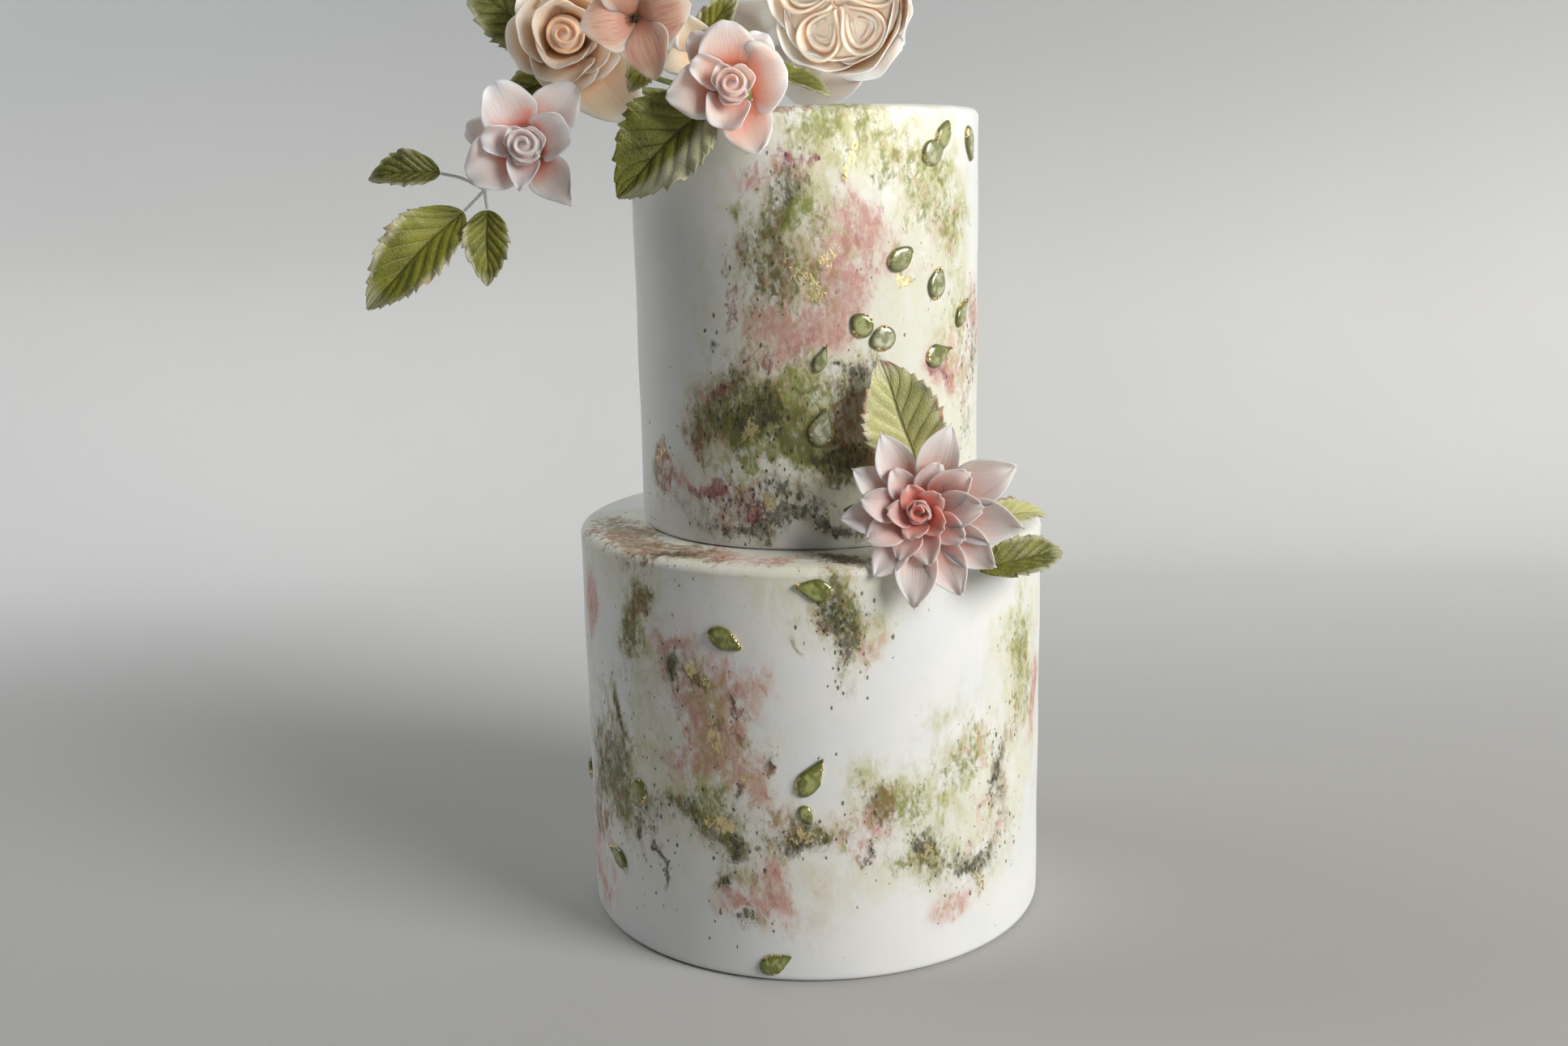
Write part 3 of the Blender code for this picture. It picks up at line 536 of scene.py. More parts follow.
def makeSugar(name, look):
    material, surface, place = newMaterial(name)
    across, along, _ = readMap(surface)
    rim, front, tone = readNumbers(surface, "rim", "front", "tone")
    grain = useGroup(grainGroup, Place=place, Broad=130.0)
    veins = useGroup(veinGroup, Across=across, Along=along, Tone=tone, Count=look["veinCount"])["Veins"]
    drift = times(minus(grain["Cloud"], 0.5), 0.5)
    reached = plus(plus(along, drift), times(minus(tone, 0.5), look.get("shift", 0.0)))
    colour = blendColour(remap(reached, look["reach"], 0.05), look["body"], look["heart"])
    colour = layered(
        colour,
        (times(remap(tone, 0.0, 1.0, 0.0, look.get("tint", 0.35)), remap(along, 0.1, 0.8)), look["rim"]),
        (times(veins, look["veins"]), look["veinColour"]),
        (remap(plus(rim, drift), 0.12, 1.15, 0.0, 0.85), look["rim"]),
        (times(minus(1.0, front), 0.55), look["back"]))
    height = plus(times(grain["Height"], 0.5), times(veins, -0.5))
    dress(surface, {"Base Color": colour, "Roughness": remap(grain["Height"], 0.2, 0.8, 0.5, 0.68),
                    "Subsurface Weight": 0.55, "Subsurface Radius": (1.0, 0.62, 0.48),
                    "Subsurface Scale": 0.0035},
          height, 0.3, 0.0004)
    return material


def makeMottled(name, dark, pale, broad, roughness, strength, distance):
    # two colours in a cloud, with the paste's own tooth
    material, surface, place = newMaterial(name)
    grain = useGroup(grainGroup, Place=place, Broad=broad)
    dress(surface, {"Base Color": blendColour(grain["Cloud"], dark, pale), "Roughness": roughness},
          grain["Height"], strength, distance)
    return material


sugar = {name: makeSugar(name, look) for name, look in sugarLooks.items()}
calyxGreen = makeMottled("calyxGreen", (0.20, 0.25, 0.06), (0.36, 0.40, 0.14), 260.0, 0.6, 0.4, 0.0004)

openPetal = {"cup": 0.55, "drop": 0.16, "curl": 1.5, "start": 6.0}
huggingPetal = {"open": (24, 20, 62), "cup": 1.0, "drop": 0.1, "end": 0.75, "start": 4.0, "narrow": 0.3}


# Small pink roses: kind of petal, angle, length, width and what differs

pinkRoses = {
    "inner": {"width": 12.5, "open": (20, 4, 34), "cup": 1.25, "start": 3.6, "lift": 0.8, "end": 0.8,
              "spiral": 0.9, "drop": 0.1},
    "leftSpot": (-101.7, -36.0, 306.5), "leftWay": (0.0, -1.0, 0.04), "leftBud": 7.6,
    "left": [
        (openPetal, 115, 21, 22, {"open": (34, 68, 80)}),
        (openPetal, 50, 22, 19, {"open": (62, 90, 96), "lift": -0.6}),
        (huggingPetal, 18, 17, 20, {"open": (34, 45, 70)}),
        (openPetal, -55, 22, 17, {"end": 0.3, "nib": 0.06}),
        (huggingPetal, -98, 17, 14, {"open": (30, 40, 66), "end": 0.35}), (openPetal, 207, 20, 22, {}),
        (huggingPetal, 170, 15, 13, {"open": (34, 44, 76)}),
        (openPetal, 163, 18, 15, {"open": (66, 94, 98), "lift": -0.6}),
    ],
    "rightSpot": (-25.3, -66.5, 324.4), "rightWay": (0.0, -1.0, 0.06), "rightBud": 7.0,
    "right": [
        (openPetal, 12, 15, 27, {"open": (34, 70, 74), "cup": 0.75}),
        (openPetal, 98, 17, 21, {"open": (36, 74, 80)}),
        (openPetal, 55, 15, 17, {"open": (62, 90, 96), "lift": -0.6}),
        (openPetal, 190, 19, 20, {"open": (36, 76, 84), "end": 0.4}),
        (huggingPetal, 152, 15, 12, {"open": (34, 44, 70)}),
        (huggingPetal, 256, 15, 18, {"open": (30, 38, 84), "lip": 30}),
        (openPetal, 290, 21, 19, {"open": (50, 82, 70), "end": 0.45, "lift": -0.4, "lip": -40}),
        (openPetal, 128, 17, 14, {"open": (66, 94, 96), "lift": -0.6, "ruffle": 0.9}),
    ],
}


def makePinkRose(side):
    bud = pinkRoses[side + "Bud"]
    shells = [calyxShell(bud + 0.5), coreShell(0.8 * bud, 11.6),
              heartShell(1.0, 0.8 * bud, 1.9, 2, 12.2, 110, 0.7)]
    for index, angle in enumerate((30, 150, 270)):
        shells.append(petalShell({**pinkRoses["inner"], "length": 11.5 - index * 0.5}, angle, 22, 14,
                                 0.2 * index))
        shells[-1]["rim"] *= 0.6
    for index, (kind, angle, length, width, changes) in enumerate(pinkRoses[side]):
        settings = {**kind, "length": length, "width": width, **changes}
        shells.append(petalShell(settings, angle, 24, 22, 0.5 + 0.5 * vary(5, index)))
    place = facing(pinkRoses[side + "Spot"], pinkRoses[side + "Way"])
    name = "pinkRose" + side.capitalize()
    colour = sugar["pinkSugar" if side == "left" else "salmonSugar"]
    obj = joinShells(name, [placed(shell, place) for shell in shells], [colour, calyxGreen])
    return finishPiece(obj, "pink_sugar", "pink_rose_" + side)


# Peach rose: rings of count, rim, length, opening, first angle, lift and start

peach = {
    "spot": (-89.5, -5.0, 347.3), "way": (0.05, -1.0, 0.0),
    "rings": [(3, 11, 18, (45, 5, 18), 20, 1.0, 4.5), (4, 15, 18, (60, 12, 30), 75, 0.0, 7.5),
              (5, 18, 15, (70, 24, 50), 50, -0.5, 10.0)],
    "hanging": {**openPetal, "length": 33, "width": 30, "open": (72, 64, 62), "lift": -1, "start": 8,
                "lip": 8},
}


def makePeachRose():
    shells = [calyxShell(11), coreShell(7.0, 15.4), heartShell(1.0, 7.0, 2.0, 3, 15.5, 120, 0.6)]
    for ring in peach["rings"]:
        shells += ringShells(*ring, lip=22)
    # inner petals keep less of the pale rim, so the middle reads deeper: partly the rose's own colour,
    # partly painted shade in its heart
    for index, shell in enumerate(shells[3:]):
        shell["look"] = 2
        shell["rim"] *= min(1.0, 0.45 + 0.06 * index)
    shells.append(petalShell(peach["hanging"], -52, 26, 26, 0.6, 2))
    place = facing(peach["spot"], peach["way"])
    materials = [sugar["foldSugar"], calyxGreen, sugar["peachSugar"]]
    obj = joinShells("peachRose", [placed(shell, place) for shell in shells], materials)
    return finishPiece(obj, "peach_sugar", "peach_rose")


# Garden rose: folded quarters in a wide cup

garden = {
    "spot": (21.6, 0.5, 359.5), "way": (-0.34, -0.93, -0.10), "quarters": 5, "foot": 11, "filled": 13.0,
    "rings": [(5, 25, 24, (60, 24, 8), 12, 8, 15), (4, 22, 20, (58, 14, 4), 50, 9, 14)],
    "cupPetal": {"start": 12, "lift": 5, "cup": 0.8, "drop": 0.14, "end": 0.7, "spiral": 1.4, "curl": 2.0,
                 "lip": 20, "ruffle": 1.0},
    "loops": [(4.0, 22.3, 0.56, 15.0), (6.8, 18.6, 0.40, 13.6), (9.4, 15.4, 0.24, 12.2)],
    "bowl": [(0, 13), (8, 13.4), (15, 14.4), (21, 15.5), (21.6, 14), (21.5, 12), (19, 8), (15, 4),
             (10, 1.6), (6, 0), (4, -6), (0, -6)],
    "cup": [(-122, 32, 46, (78, 58, 74)), (-172, 39, 44, (78, 58, 76)), (-66, 22, 36, (76, 40, 46)),
            (-14, 20, 34, (76, 32, 26)), (40, 23, 38, (76, 38, 36)), (92, 31, 40, (78, 48, 60)),
            (141, 36, 42, (78, 54, 70))],
}


def foldShell(near, far, spread, foot, depth, tone):
    def surface(u, v):
        swing = math.pi * np.abs(u)
        radius = (far + near + (far - near) * np.cos(swing)) / 2
        side = np.copysign(spread * np.sin(np.minimum(swing, 2.6)), u)
        radius = radius * (0.84 + 0.16 * v) + 0.9 * v ** 6 * np.cos(swing)
        radius = radius + 0.5 * np.sin(7 * u + 9 * tone) * v
        height = foot + depth * v + (0.7 * np.sin(3 * swing + 5 * tone) + 0.4 * np.sin(5 * u)) * v
        return np.stack([radius * np.cos(side), radius * np.sin(side), height], axis=-1) * mm

    return sheetShell(surface, 64, 12, 2.0 * mm, 0.6, tone, 0)


def makeGardenRose():
    shells = [turnedShell(garden["bowl"], 48, 0.4, 3)]
    shells.append(placed(coreShell(22.0, 10.6, 0, 1.1), Matrix.Translation((0, 0, garden["filled"] * mm))))
    for quarter in range(garden["quarters"]):
        angle = math.radians(90 + 360 * quarter / garden["quarters"] + 4 * vary(11, quarter))
        for loop, (near, far, spread, depth) in enumerate(garden["loops"]):
            shell = foldShell(near, far, spread, garden["foot"], depth, 0.5 + 0.5 * vary(quarter, loop))
            shells.append(placed(shell, Matrix.Rotation(angle, 4, "Z")))
    shells.append(heartShell(0.8, 4.2, 1.6, garden["foot"], 14.5, 70, 0.4))
    shells.append(placed(coreShell(3.6, 10.0), Matrix.Translation((0, 0, garden["filled"] * mm))))
    rings = [shell for ring in garden["rings"] for shell in ringShells(*ring, lip=14, ruffle=0.8)]
    for shell in rings:
        shell["look"] = 3
    for index, (angle, length, width, opening) in enumerate(garden["cup"]):
        settings = {**garden["cupPetal"], "length": length, "width": width, "open": opening}
        rings.append(petalShell(settings, angle, 34, 30, 0.5 + 0.5 * vary(8, index), 2))
    place = facing(garden["spot"], garden["way"])
    materials = [sugar["foldSugar"], calyxGreen, sugar["creamSugar"], sugar["peachSugar"]]
    obj = joinShells("gardenRose", [placed(shell, place) for shell in shells + rings], materials)
    return finishPiece(obj, "peach_sugar", "garden_rose")


# Dahlia: angle and reach of each petal; a ring has its opening, width share, lift and start

dahlia = {
    "spot": (37.3, -84.8, 176.3), "way": (-0.12, -0.97, 0.22),
    "petal": {"narrow": 0.15, "spiral": 0.9, "nib": 0.05, "ruffle": 0.7, "cup": 0.7, "thick": 0.9},
    "inner": {"width": 8.5, "open": (26, 8, -38), "start": 2.6, "lift": 1.2, "cup": 1.2, "end": 0.8,
              "narrow": 0.35, "lip": 55, "ruffle": 0.5, "spiral": 1.2, "thick": 1.3},
    "rings": [
        ([(116, 31), (70, 33), (147, 28), (26, 38), (-8, 37), (-35, 33), (-62, 33), (-92, 34), (-124, 28),
          (185, 28)],
         (66, 80, 80), 0.48, -0.4, 6.0),
        ([(168, 22), (210, 22), (122, 19), (69, 20), (38, 24), (5, 24), (-30, 20), (-78, 20), (-112, 19)],
         (50, 66, 74), 0.60, 0.3, 4.5),
        ([(40, 13), (112, 13), (184, 14), (256, 13), (328, 14)], (22, 48, 56), 0.80, 0.8, 3.0),
    ],
}


def makeDahlia():
    shells = [calyxShell(7.5)]
    for ring, (members, opening, share, lift, start) in enumerate(dahlia["rings"]):
        for index, (angle, reach) in enumerate(members):
            settings = {**dahlia["petal"], "length": reach - start, "width": share * reach, "open": opening,
                        "start": start, "lift": lift, "end": 0.12 + 0.16 * ring,
                        "lip": 8 + 22 * vary(ring + 5, index)}
            shells.append(petalShell(settings, angle, 18, 26,
                                     0.85 - 0.33 * ring + 0.12 * vary(ring + 2, index)))
            shells[-1]["rim"] *= 1.0 - 0.3 * ring
    shells.append(coreShell(4.4, 7.2, 0, 0.1))
    shells.append(heartShell(0.9, 3.6, 1.45, 2, 8.6, 70, 0.9, 0.1))
    for index in range(4):
        settings = {**dahlia["inner"], "length": 8.6 - 0.4 * index}
        shells.append(petalShell(settings, 15 + 88 * index, 16, 16, 0.1))
        shells[-1]["uv"][:, 1] = 0.25 + 0.6 * shells[-1]["uv"][:, 1]
        shells[-1]["rim"] *= 0.5
    place = facing(dahlia["spot"], dahlia["way"])
    obj = joinShells("dahliaBloom", [placed(shell, place) for shell in shells],
                     [sugar["dahliaSugar"], calyxGreen])
    return finishPiece(obj, "pink_sugar", "dahlia")


# Blossoms: four broad petals round a dark eye

broadPetal = {"open": (44, 84, 94), "cup": 0.35, "drop": 0.2, "end": 0.5, "narrow": 0.12, "start": 1.0,
              "spiral": 0.8, "ruffle": 0.7}
blossoms = {
    "large": {"spot": (-59.7, -49.0, 349.2), "way": (0.05, -1.0, -0.05), "sugar": "dustyShadedSugar",
              "petals": [(186, 19, 22, {}), (-72, 22, 19, {"open": (44, 80, 82)}), (12, 20, 23, {}),
                         (98, 20, 21, {})]},
    "small": {"spot": (-37.5, -31.0, 338.0), "way": (-0.1, -1.0, 0.0), "sugar": "peachSugar",
              "petals": [(20 + 90 * q, 15, 14, {"open": (34, 64, 84)}) for q in range(4)]},
    "button": [(0, 3.3), (0.6, 3.1), (1.1, 2.2), (1.4, 1.0), (1.1, 0.2), (0, 0)], "threads": 9,
    "thread": [(0, 4.6), (0.35, 4.3), (0.42, 3.8), (0.2, 3.2), (0.2, 1.0), (0, 1.0)],
}
darkEye = makeMottled("darkEye", (0.015, 0.010, 0.006), (0.14, 0.08, 0.03), 700.0, 0.75, 0.8, 0.0005)


def makeBlossom(size):
    data = blossoms[size]
    shells = [calyxShell(3.4)]
    shells.append(turnedShell(blossoms["button"], 20, 0, 2))
    for index in range(blossoms["threads"]):
        angle = math.radians(360 / blossoms["threads"] * index + 9 * vary(4, index))
        lean = math.radians(20 + 10 * vary(6, index))
        tilt = Matrix.Rotation(angle, 4, "Z") @ Matrix.Rotation(lean, 4, "Y")
        shells.append(placed(turnedShell(blossoms["thread"], 7, 0, 2), tilt))
    for index, (angle, length, width, changes) in enumerate(data["petals"]):
        settings = {**broadPetal, "length": length, "width": width, **changes}
        shells.append(petalShell(settings, angle, 26, 26, 0.5 + 0.5 * vary(9, index)))
    place = facing(data["spot"], data["way"])
    name = "blossom" + size.capitalize()
    obj = joinShells(name, [placed(shell, place) for shell in shells],
                     [sugar[data["sugar"]], calyxGreen, darkEye])
    return finishPiece(obj, "dusty_sugar", "blossom_" + size)


makePinkRose("left")
makePinkRose("right")
makePeachRose()
makeGardenRose()
makeDahlia()
makeBlossom("large")
makeBlossom("small")
print("flowers done")


# Leaves: base, tip, way the upper face looks, width, arch, fold, and how yellow the leaf is

leaves = {
    "leaf_front": ((-33.5, -61.5, 319.0), (-67.0, -63.0, 287.5), (-0.25, -1.0, 0.15), 32, 3.0, 0.22, 0.42),
    "leaf_top_left": ((-100.0, 3.5, 346.5), (-128.0, -5.0, 368.0), (-0.1, -1.0, 0.2), 24, 3.0, 0.25, 0.3),
    "leaf_behind_left": ((-93.0, 10.0, 332.0), (-118.0, 1.0, 324.5), (0.0, -1.0, 0.3), 15, 3.0, 0.25, 0.4),
    "leaf_below_blossom": ((-53.0, -39.0, 338.0), (-63.5, -42.0, 324.5), (-0.1, -1.0, 0.1), 12, 3.0, 0.2,
                           0.9),
    "leaf_beside_blossom": ((-40.0, -24.0, 341.0), (-24.0, -30.0, 360.0), (0.2, -1.0, 0.1), 13, 2.0, 0.2,
                            0.6),
    "leaf_under_rose": ((-19.0, -40.0, 330.0), (9.0, -47.0, 321.5), (0.1, -0.6, 1.0), 14, 2.0, 0.2, 0.3),
    "leaf_wired_left": ((-136.1, -30.0, 297.7), (-162.0, -33.0, 295.5), (0.0, -1.0, 0.45), 14, 3.0, 0.3,
                        0.15),
    "leaf_wired_large": ((-128.3, -30.0, 283.0), (-165.2, -36.0, 248.2), (-0.15, -1.0, 0.1), 25, 4.0, 0.28,
                         0.72),
    "leaf_wired_small": ((-119.2, -30.0, 283.4), (-120.2, -34.0, 256.0), (0.1, -1.0, 0.1), 17, 2.5, 0.25,
                         0.6),
    "leaf_dahlia_up": ((37.5, -71.5, 191.5), (24.5, -69.0, 229.0), (0.1, -1.0, 0.1), 29, 1.5, 0.15, 1.2),
    "leaf_dahlia_right": ((59.0, -85.0, 154.8), (91.5, -67.0, 156.5), (0.25, -0.8, 0.6), 15, 3.0, 0.3, 0.4),
    "leaf_dahlia_back": ((61.0, -64.0, 165.0), (90.0, -38.0, 165.0), (0.15, -0.5, 1.0), 15, 3.0, 0.2, 1.2),
    "leaf_dahlia_left": ((24.0, -73.0, 172.5), (11.0, -73.5, 175.5), (-0.1, -1.0, 0.3), 8, 1.0, 0.2, 0.2),
    "leaf_back_right": ((8.0, 20.0, 334.0), (22.0, 48.0, 332.0), (0.0, 0.5, 1.0), 22, 4.0, 0.25, 0.5),
    "leaf_back_left": ((-22.0, 26.0, 335.0), (-52.0, 38.0, 327.0), (0.0, 0.6, 1.0), 22, 4.0, 0.25, 0.5),
}
leafForm = {"teethPerMm": 0.24, "tooth": 0.07, "veins": 6.5, "slant": 2.4, "quilt": 0.85, "paleQuilt": 0.55,
            "thick": 0.7, "broad": 16, "finePoints": (36, 130), "points": (24, 80)}


def veinPhase(u, v):
    # side veins leave the midrib and slant towards the tip
    return leafForm["veins"] * v - leafForm["slant"] * np.abs(u) ** 0.85


def makeLeafLook():
    material, surface, place = newMaterial("leafSugar")
    across, along, _ = readMap(surface)
    rim, front, tone = readNumbers(surface, "rim", "front", "tone")
    size = times(arithmetic("ABSOLUTE", minus(across, 0.5)), 2.0)
    grain = useGroup(grainGroup, Place=place, Broad=90.0, Fine=1300.0)
    phase = minus(times(along, leafForm["veins"]),
                  times(arithmetic("POWER", size, 0.85), leafForm["slant"]))
    near = arithmetic("PINGPONG", plus(phase, times(grain["Cloud"], 0.25)), 0.5)
    sideVeins = times(remap(near, 0.0, 0.09, 1.0, 0.0), remap(size, 0.0, 0.9, 1.0, 0.35))
    midrib = remap(size, 0.01, 0.07, 1.0, 0.0)
    net = addNode(place.id_data, "ShaderNodeTexVoronoi", {"Vector": place, "Scale": 620.0},
                  feature="DISTANCE_TO_EDGE").outputs[0]
    fineNet = remap(net, 0.0, 0.12, 1.0, 0.0)
    blush = noise(place, 75.0, 5.0)
    yellow = plus(times(tone, 0.75), minus(grain["Cloud"], 0.5))
    lined = blendColour(remap(tone, 0.45, 0.75), (0.035, 0.034, 0.005), (0.50, 0.49, 0.19))
    pale = remap(plus(rim, minus(blush, 0.5)), 0.3, 1.05, 0.0, 0.85)
    rust = times(times(remap(rim, 0.8, 1.0), remap(blush, 0.5, 0.62)), remap(tone, 0.5, 0.85))
    colour = layered(
        blendColour(remap(yellow, -0.15, 0.85), (0.060, 0.060, 0.005), (0.32, 0.315, 0.030)),
        (remap(tone, 0.85, 1.15, 0.0, 0.85), (0.62, 0.605, 0.27)),
        (times(remap(blush, 0.45, 0.75, 0.0, 0.6), remap(tone, 0.85, 1.15, 1.0, 0.4)),
         (0.042, 0.043, 0.004)),
        (times(fineNet, 0.22), (0.50, 0.52, 0.22)),
        (times(sideVeins, 0.7), lined),
        (times(midrib, 0.6), (0.06, 0.045, 0.010)),
        (times(pale, remap(tone, 0.0, 0.8, 0.35, 1.0)), (0.62, 0.59, 0.42)),
        (times(rust, 0.7), (0.42, 0.13, 0.08)),
        (times(minus(1.0, front), 0.5), (0.38, 0.38, 0.18)))
    height = minus(times(grain["Height"], 0.5), times(arithmetic("MAXIMUM", sideVeins, midrib), 0.8))
    dress(surface, {"Base Color": colour, "Roughness": remap(grain["Height"], 0.2, 0.8, 0.38, 0.6),
                    "Subsurface Weight": 0.12, "Subsurface Radius": (0.6, 1.0, 0.2),
                    "Subsurface Scale": 0.002, "Coat Weight": 0.06},
          minus(height, times(fineNet, 0.25)), 0.6, 0.0006)
    return material


leafSugar = makeLeafLook()


def makeLeaf(name, base, tip, upper, width, arch, fold, tone):
    start, run = np.array(base), np.array(tip) - np.array(base)
    length = np.linalg.norm(run)
    forward, normal = run / length, np.array(upper)
    normal = normal - forward * normal.dot(forward)
    normal /= np.linalg.norm(normal)
    across = np.cross(normal, forward)
    teeth = round(leafForm["teethPerMm"] * length)
    quilt = leafForm["quilt"] * (leafForm["paleQuilt"] if tone > 1 else 1)

    def surface(u, v):
        size = np.abs(u)
        belly = np.sin(math.pi * np.clip(v, 0, 1) ** 0.78) ** 0.75
        half = 0.5 * width * np.maximum(belly, 0.05)
        side = np.where(u > 0, 1.7, 0.0)
        saw = (v * teeth + 0.35 * np.sin(9 * v + side + 5 * tone) + side) % 1.0
        bite = 1 + 0.45 * np.sin(23 * v + 2 * side + 3 * tone)
        tooth = leafForm["tooth"] * bite * (saw ** 1.5 * 1.7 - 0.7) * size ** 6
        tooth = tooth * smooth(0.04, 0.15, v) * smooth(1.0, 0.9, v)
        sway = 0.035 * width * np.sin(2.2 * math.pi * v + 4 * tone)
        raised = fold * size * half * 2 + arch * np.sin(math.pi * v)
        raised = raised + 0.06 * half * np.sin(7 * v + 2 * u) * size
        ridge = np.abs(np.sin(math.pi * veinPhase(u, v))) ** 0.7
        raised = raised + quilt * (ridge - 0.6) * np.sqrt(np.clip(belly, 0, 1)) * smooth(0.0, 0.12, size)
        crimp = 0.07 * np.sin(17 * v + 3 * tone + side) + 0.05 * np.sin(31 * v + side)
        raised = raised + half * crimp * size ** 3
        side = u * half * (1 + tooth) + sway * smooth(0, 0.3, v) * smooth(1, 0.7, v) * 0.4
        return (start + forward * (length * (v + 0.15 * tooth))[..., None] + across * side[..., None]
                + normal * raised[..., None]) * mm

    columns, rows = leafForm["finePoints" if width > leafForm["broad"] else "points"]
    shell = sheetShell(surface, columns, rows, leafForm["thick"] * mm, 0.6, tone, 0)
    # leaf_front is drawn pale over its right half: white dust on its ruffled edge, and a painted highlight
    # on that side
    if name == "leaf_front":
        shell["rim"] = shell["rim"] * 0.3 + 1.7 * smooth(0.5, 0.95, shell["uv"][:, 0])
    obj = joinShells(name.title().replace("_", ""), [shell], [leafSugar])
    return finishPiece(obj, "leaf_sugar", name)


for leafName, leafData in leaves.items():
    makeLeaf(leafName, *leafData)
print("leaves done")


# Stems and wires: geometry nodes sweep a wrapped tape round each route

cakeTop = 318.3
stems = {
    "hub": (-30.0, 8.0, cakeTop + 5.0), "radius": 1.1, "wire": 0.6, "sides": 12, "steps": 12,
    "nub": (-119.6, -31.0, 291.2),
    "top": [["hub", (-30.0, -30.0, 325.5), (-25.6, -61.0, 324.6)],
            ["hub", (-70.0, 8.0, 328.0), (-98.0, -2.0, 318.0), (-102.0, -30.0, 306.8)],
            ["hub", (-62.0, 10.0, 334.0), (-88.0, 8.0, 343.0), (-89.8, 2.9, 346.8)],
            ["hub", (-8.0, 16.0, 336.0), (14.0, 17.0, 353.0), (23.7, 7.8, 359.5)],
            ["hub", (-44.0, 2.0, 336.0), (-60.0, -16.0, 346.0), (-60.0, -46.2, 348.9)],
            ["hub", (-30.0, -10.0, 330.0), (-37.0, -28.2, 337.8)],
            [(-98.0, -2.0, 318.0), (-110.0, -22.0, 301.0), (-118.2, -30.2, 293.0)]],
    "leaf": [["nub", (-128.0, -31.0, 295.5), (-135.6, -30.3, 297.3)],
             ["nub", (-124.0, -31.0, 287.0), (-127.9, -30.2, 283.5)],
             ["nub", (-119.4, -31.0, 287.0), (-119.2, -30.3, 284.2)]],
    "dahlia": [[(38.1, -79.0, 174.9), (38.3, -73.5, 168.5), (38.2, -71.0, 159.6)]],
}


def realize(tree, shape, finish, result):
    real = addNode(tree, "GeometryNodeRealizeInstances", {0: shape}).outputs[0]
    painted = addNode(tree, "GeometryNodeSetMaterial", {"Geometry": real, "Material": finish}).outputs[0]
    tree.links.new(painted, result[0])


def makeSweepTree():
    tree, given, result = openTree("GeometryNodeTree", "tapedStems", {
        "Geometry": "Geometry", "Radius": "Float", "Sides": "Int", "Finish": "Material"},
        {"Geometry": "Geometry"})
    curve = addNode(tree, "GeometryNodeMeshToCurve", {0: given["Geometry"]}).outputs[0]
    ring = addNode(tree, "GeometryNodeCurvePrimitiveCircle",
                   {"Resolution": given["Sides"], "Radius": given["Radius"]})
    tube = addNode(tree, "GeometryNodeCurveToMesh", {
        "Curve": curve, "Profile Curve": ring.outputs[0], "Fill Caps": True}).outputs[0]
    realize(tree, tube, given["Finish"], result)
    return tree


def nodeMesh(obj, tree, values):
    # runs a node tree on an object and keeps the plain mesh
    modifier = obj.modifiers.new("build", "NODES")
    modifier.node_group = tree
    for item in tree.interface.items_tree:
        if item.item_type == "SOCKET" and item.in_out == "INPUT" and item.name in values:
            modifier[item.identifier] = values[item.name]
    bpy.context.view_layer.update()
    mesh = bpy.data.meshes.new_from_object(obj.evaluated_get(bpy.context.evaluated_depsgraph_get()))
    obj.modifiers.clear()
    obj.data = mesh
    return obj


def makeTapeLook(name, dark, pale, roughness, wrap):
    material, surface, place = newMaterial(name)
    grain = useGroup(grainGroup, Place=place, Broad=420.0)
    bands = addNode(place.id_data, "ShaderNodeTexWave", {"Vector": place, "Scale": wrap, "Distortion": 3.0,
                    "Detail": 2.0}, bands_direction="DIAGONAL").outputs["Fac"]
    colour = blendColour(times(plus(grain["Cloud"], bands), 0.5), dark, pale)
    dress(surface, {"Base Color": colour, "Roughness": roughness}, plus(bands, grain["Height"]), 0.4,
          0.0003)
    return material


sweepTree = makeSweepTree()
stemTape = makeTapeLook("stemTape", (0.16, 0.19, 0.05), (0.33, 0.36, 0.13), 0.65, 150.0)
whiteWire = makeTapeLook("whiteWire", (0.78, 0.80, 0.82), (0.88, 0.89, 0.90), 0.45, 260.0)


def makeStems(name, routes, radius, finish, slot, node):
    points, edges = [], []
    for route in routes:
        corners = [np.array(stems[c] if isinstance(c, str) else c) * mm for c in route]
        corners = [2 * corners[0] - corners[1], *corners, 2 * corners[-1] - corners[-2]]
        first = len(points)
        for index in range(1, len(corners) - 2):
            before, start, end, after = corners[index - 1:index + 3]
            bend, twist = 2 * before - 5 * start + 4 * end - after, 3 * start - before - 3 * end + after
            for t in np.linspace(0, 1, stems["steps"], endpoint=index == len(corners) - 3):
                points.append(0.5 * (2 * start + (end - before) * t + bend * t * t + twist * t ** 3))
        edges += [(i, i + 1) for i in range(first, len(points) - 1)]
    mesh = bpy.data.meshes.new(name)
    mesh.from_pydata([tuple(p) for p in points], edges, [])
    obj = bpy.data.objects.new(name, mesh)
    bpy.context.scene.collection.objects.link(obj)
    nodeMesh(obj, sweepTree, {"Radius": radius * mm, "Sides": stems["sides"], "Finish": finish})
    obj.data.shade_smooth()
    return finishPiece(obj, slot, node)


makeStems("stemBundle", stems["top"], stems["radius"], stemTape, "stem_tape", "stems")
makeStems("leafWires", stems["leaf"], stems["wire"], whiteWire, "white_wire", "leaf_wires")
makeStems("dahliaStem", stems["dahlia"], stems["radius"], stemTape, "stem_tape", "dahlia_stem")
print("stems done")


# Tiers: icing painted in soft washes. A patch has its angle from the front in degrees, its height, half
# width and half height in millimetres, and its strength; heights above the rim run inwards over the top. A
# drop has its angle, height, length, width, turn and how far its tail is drawn out.

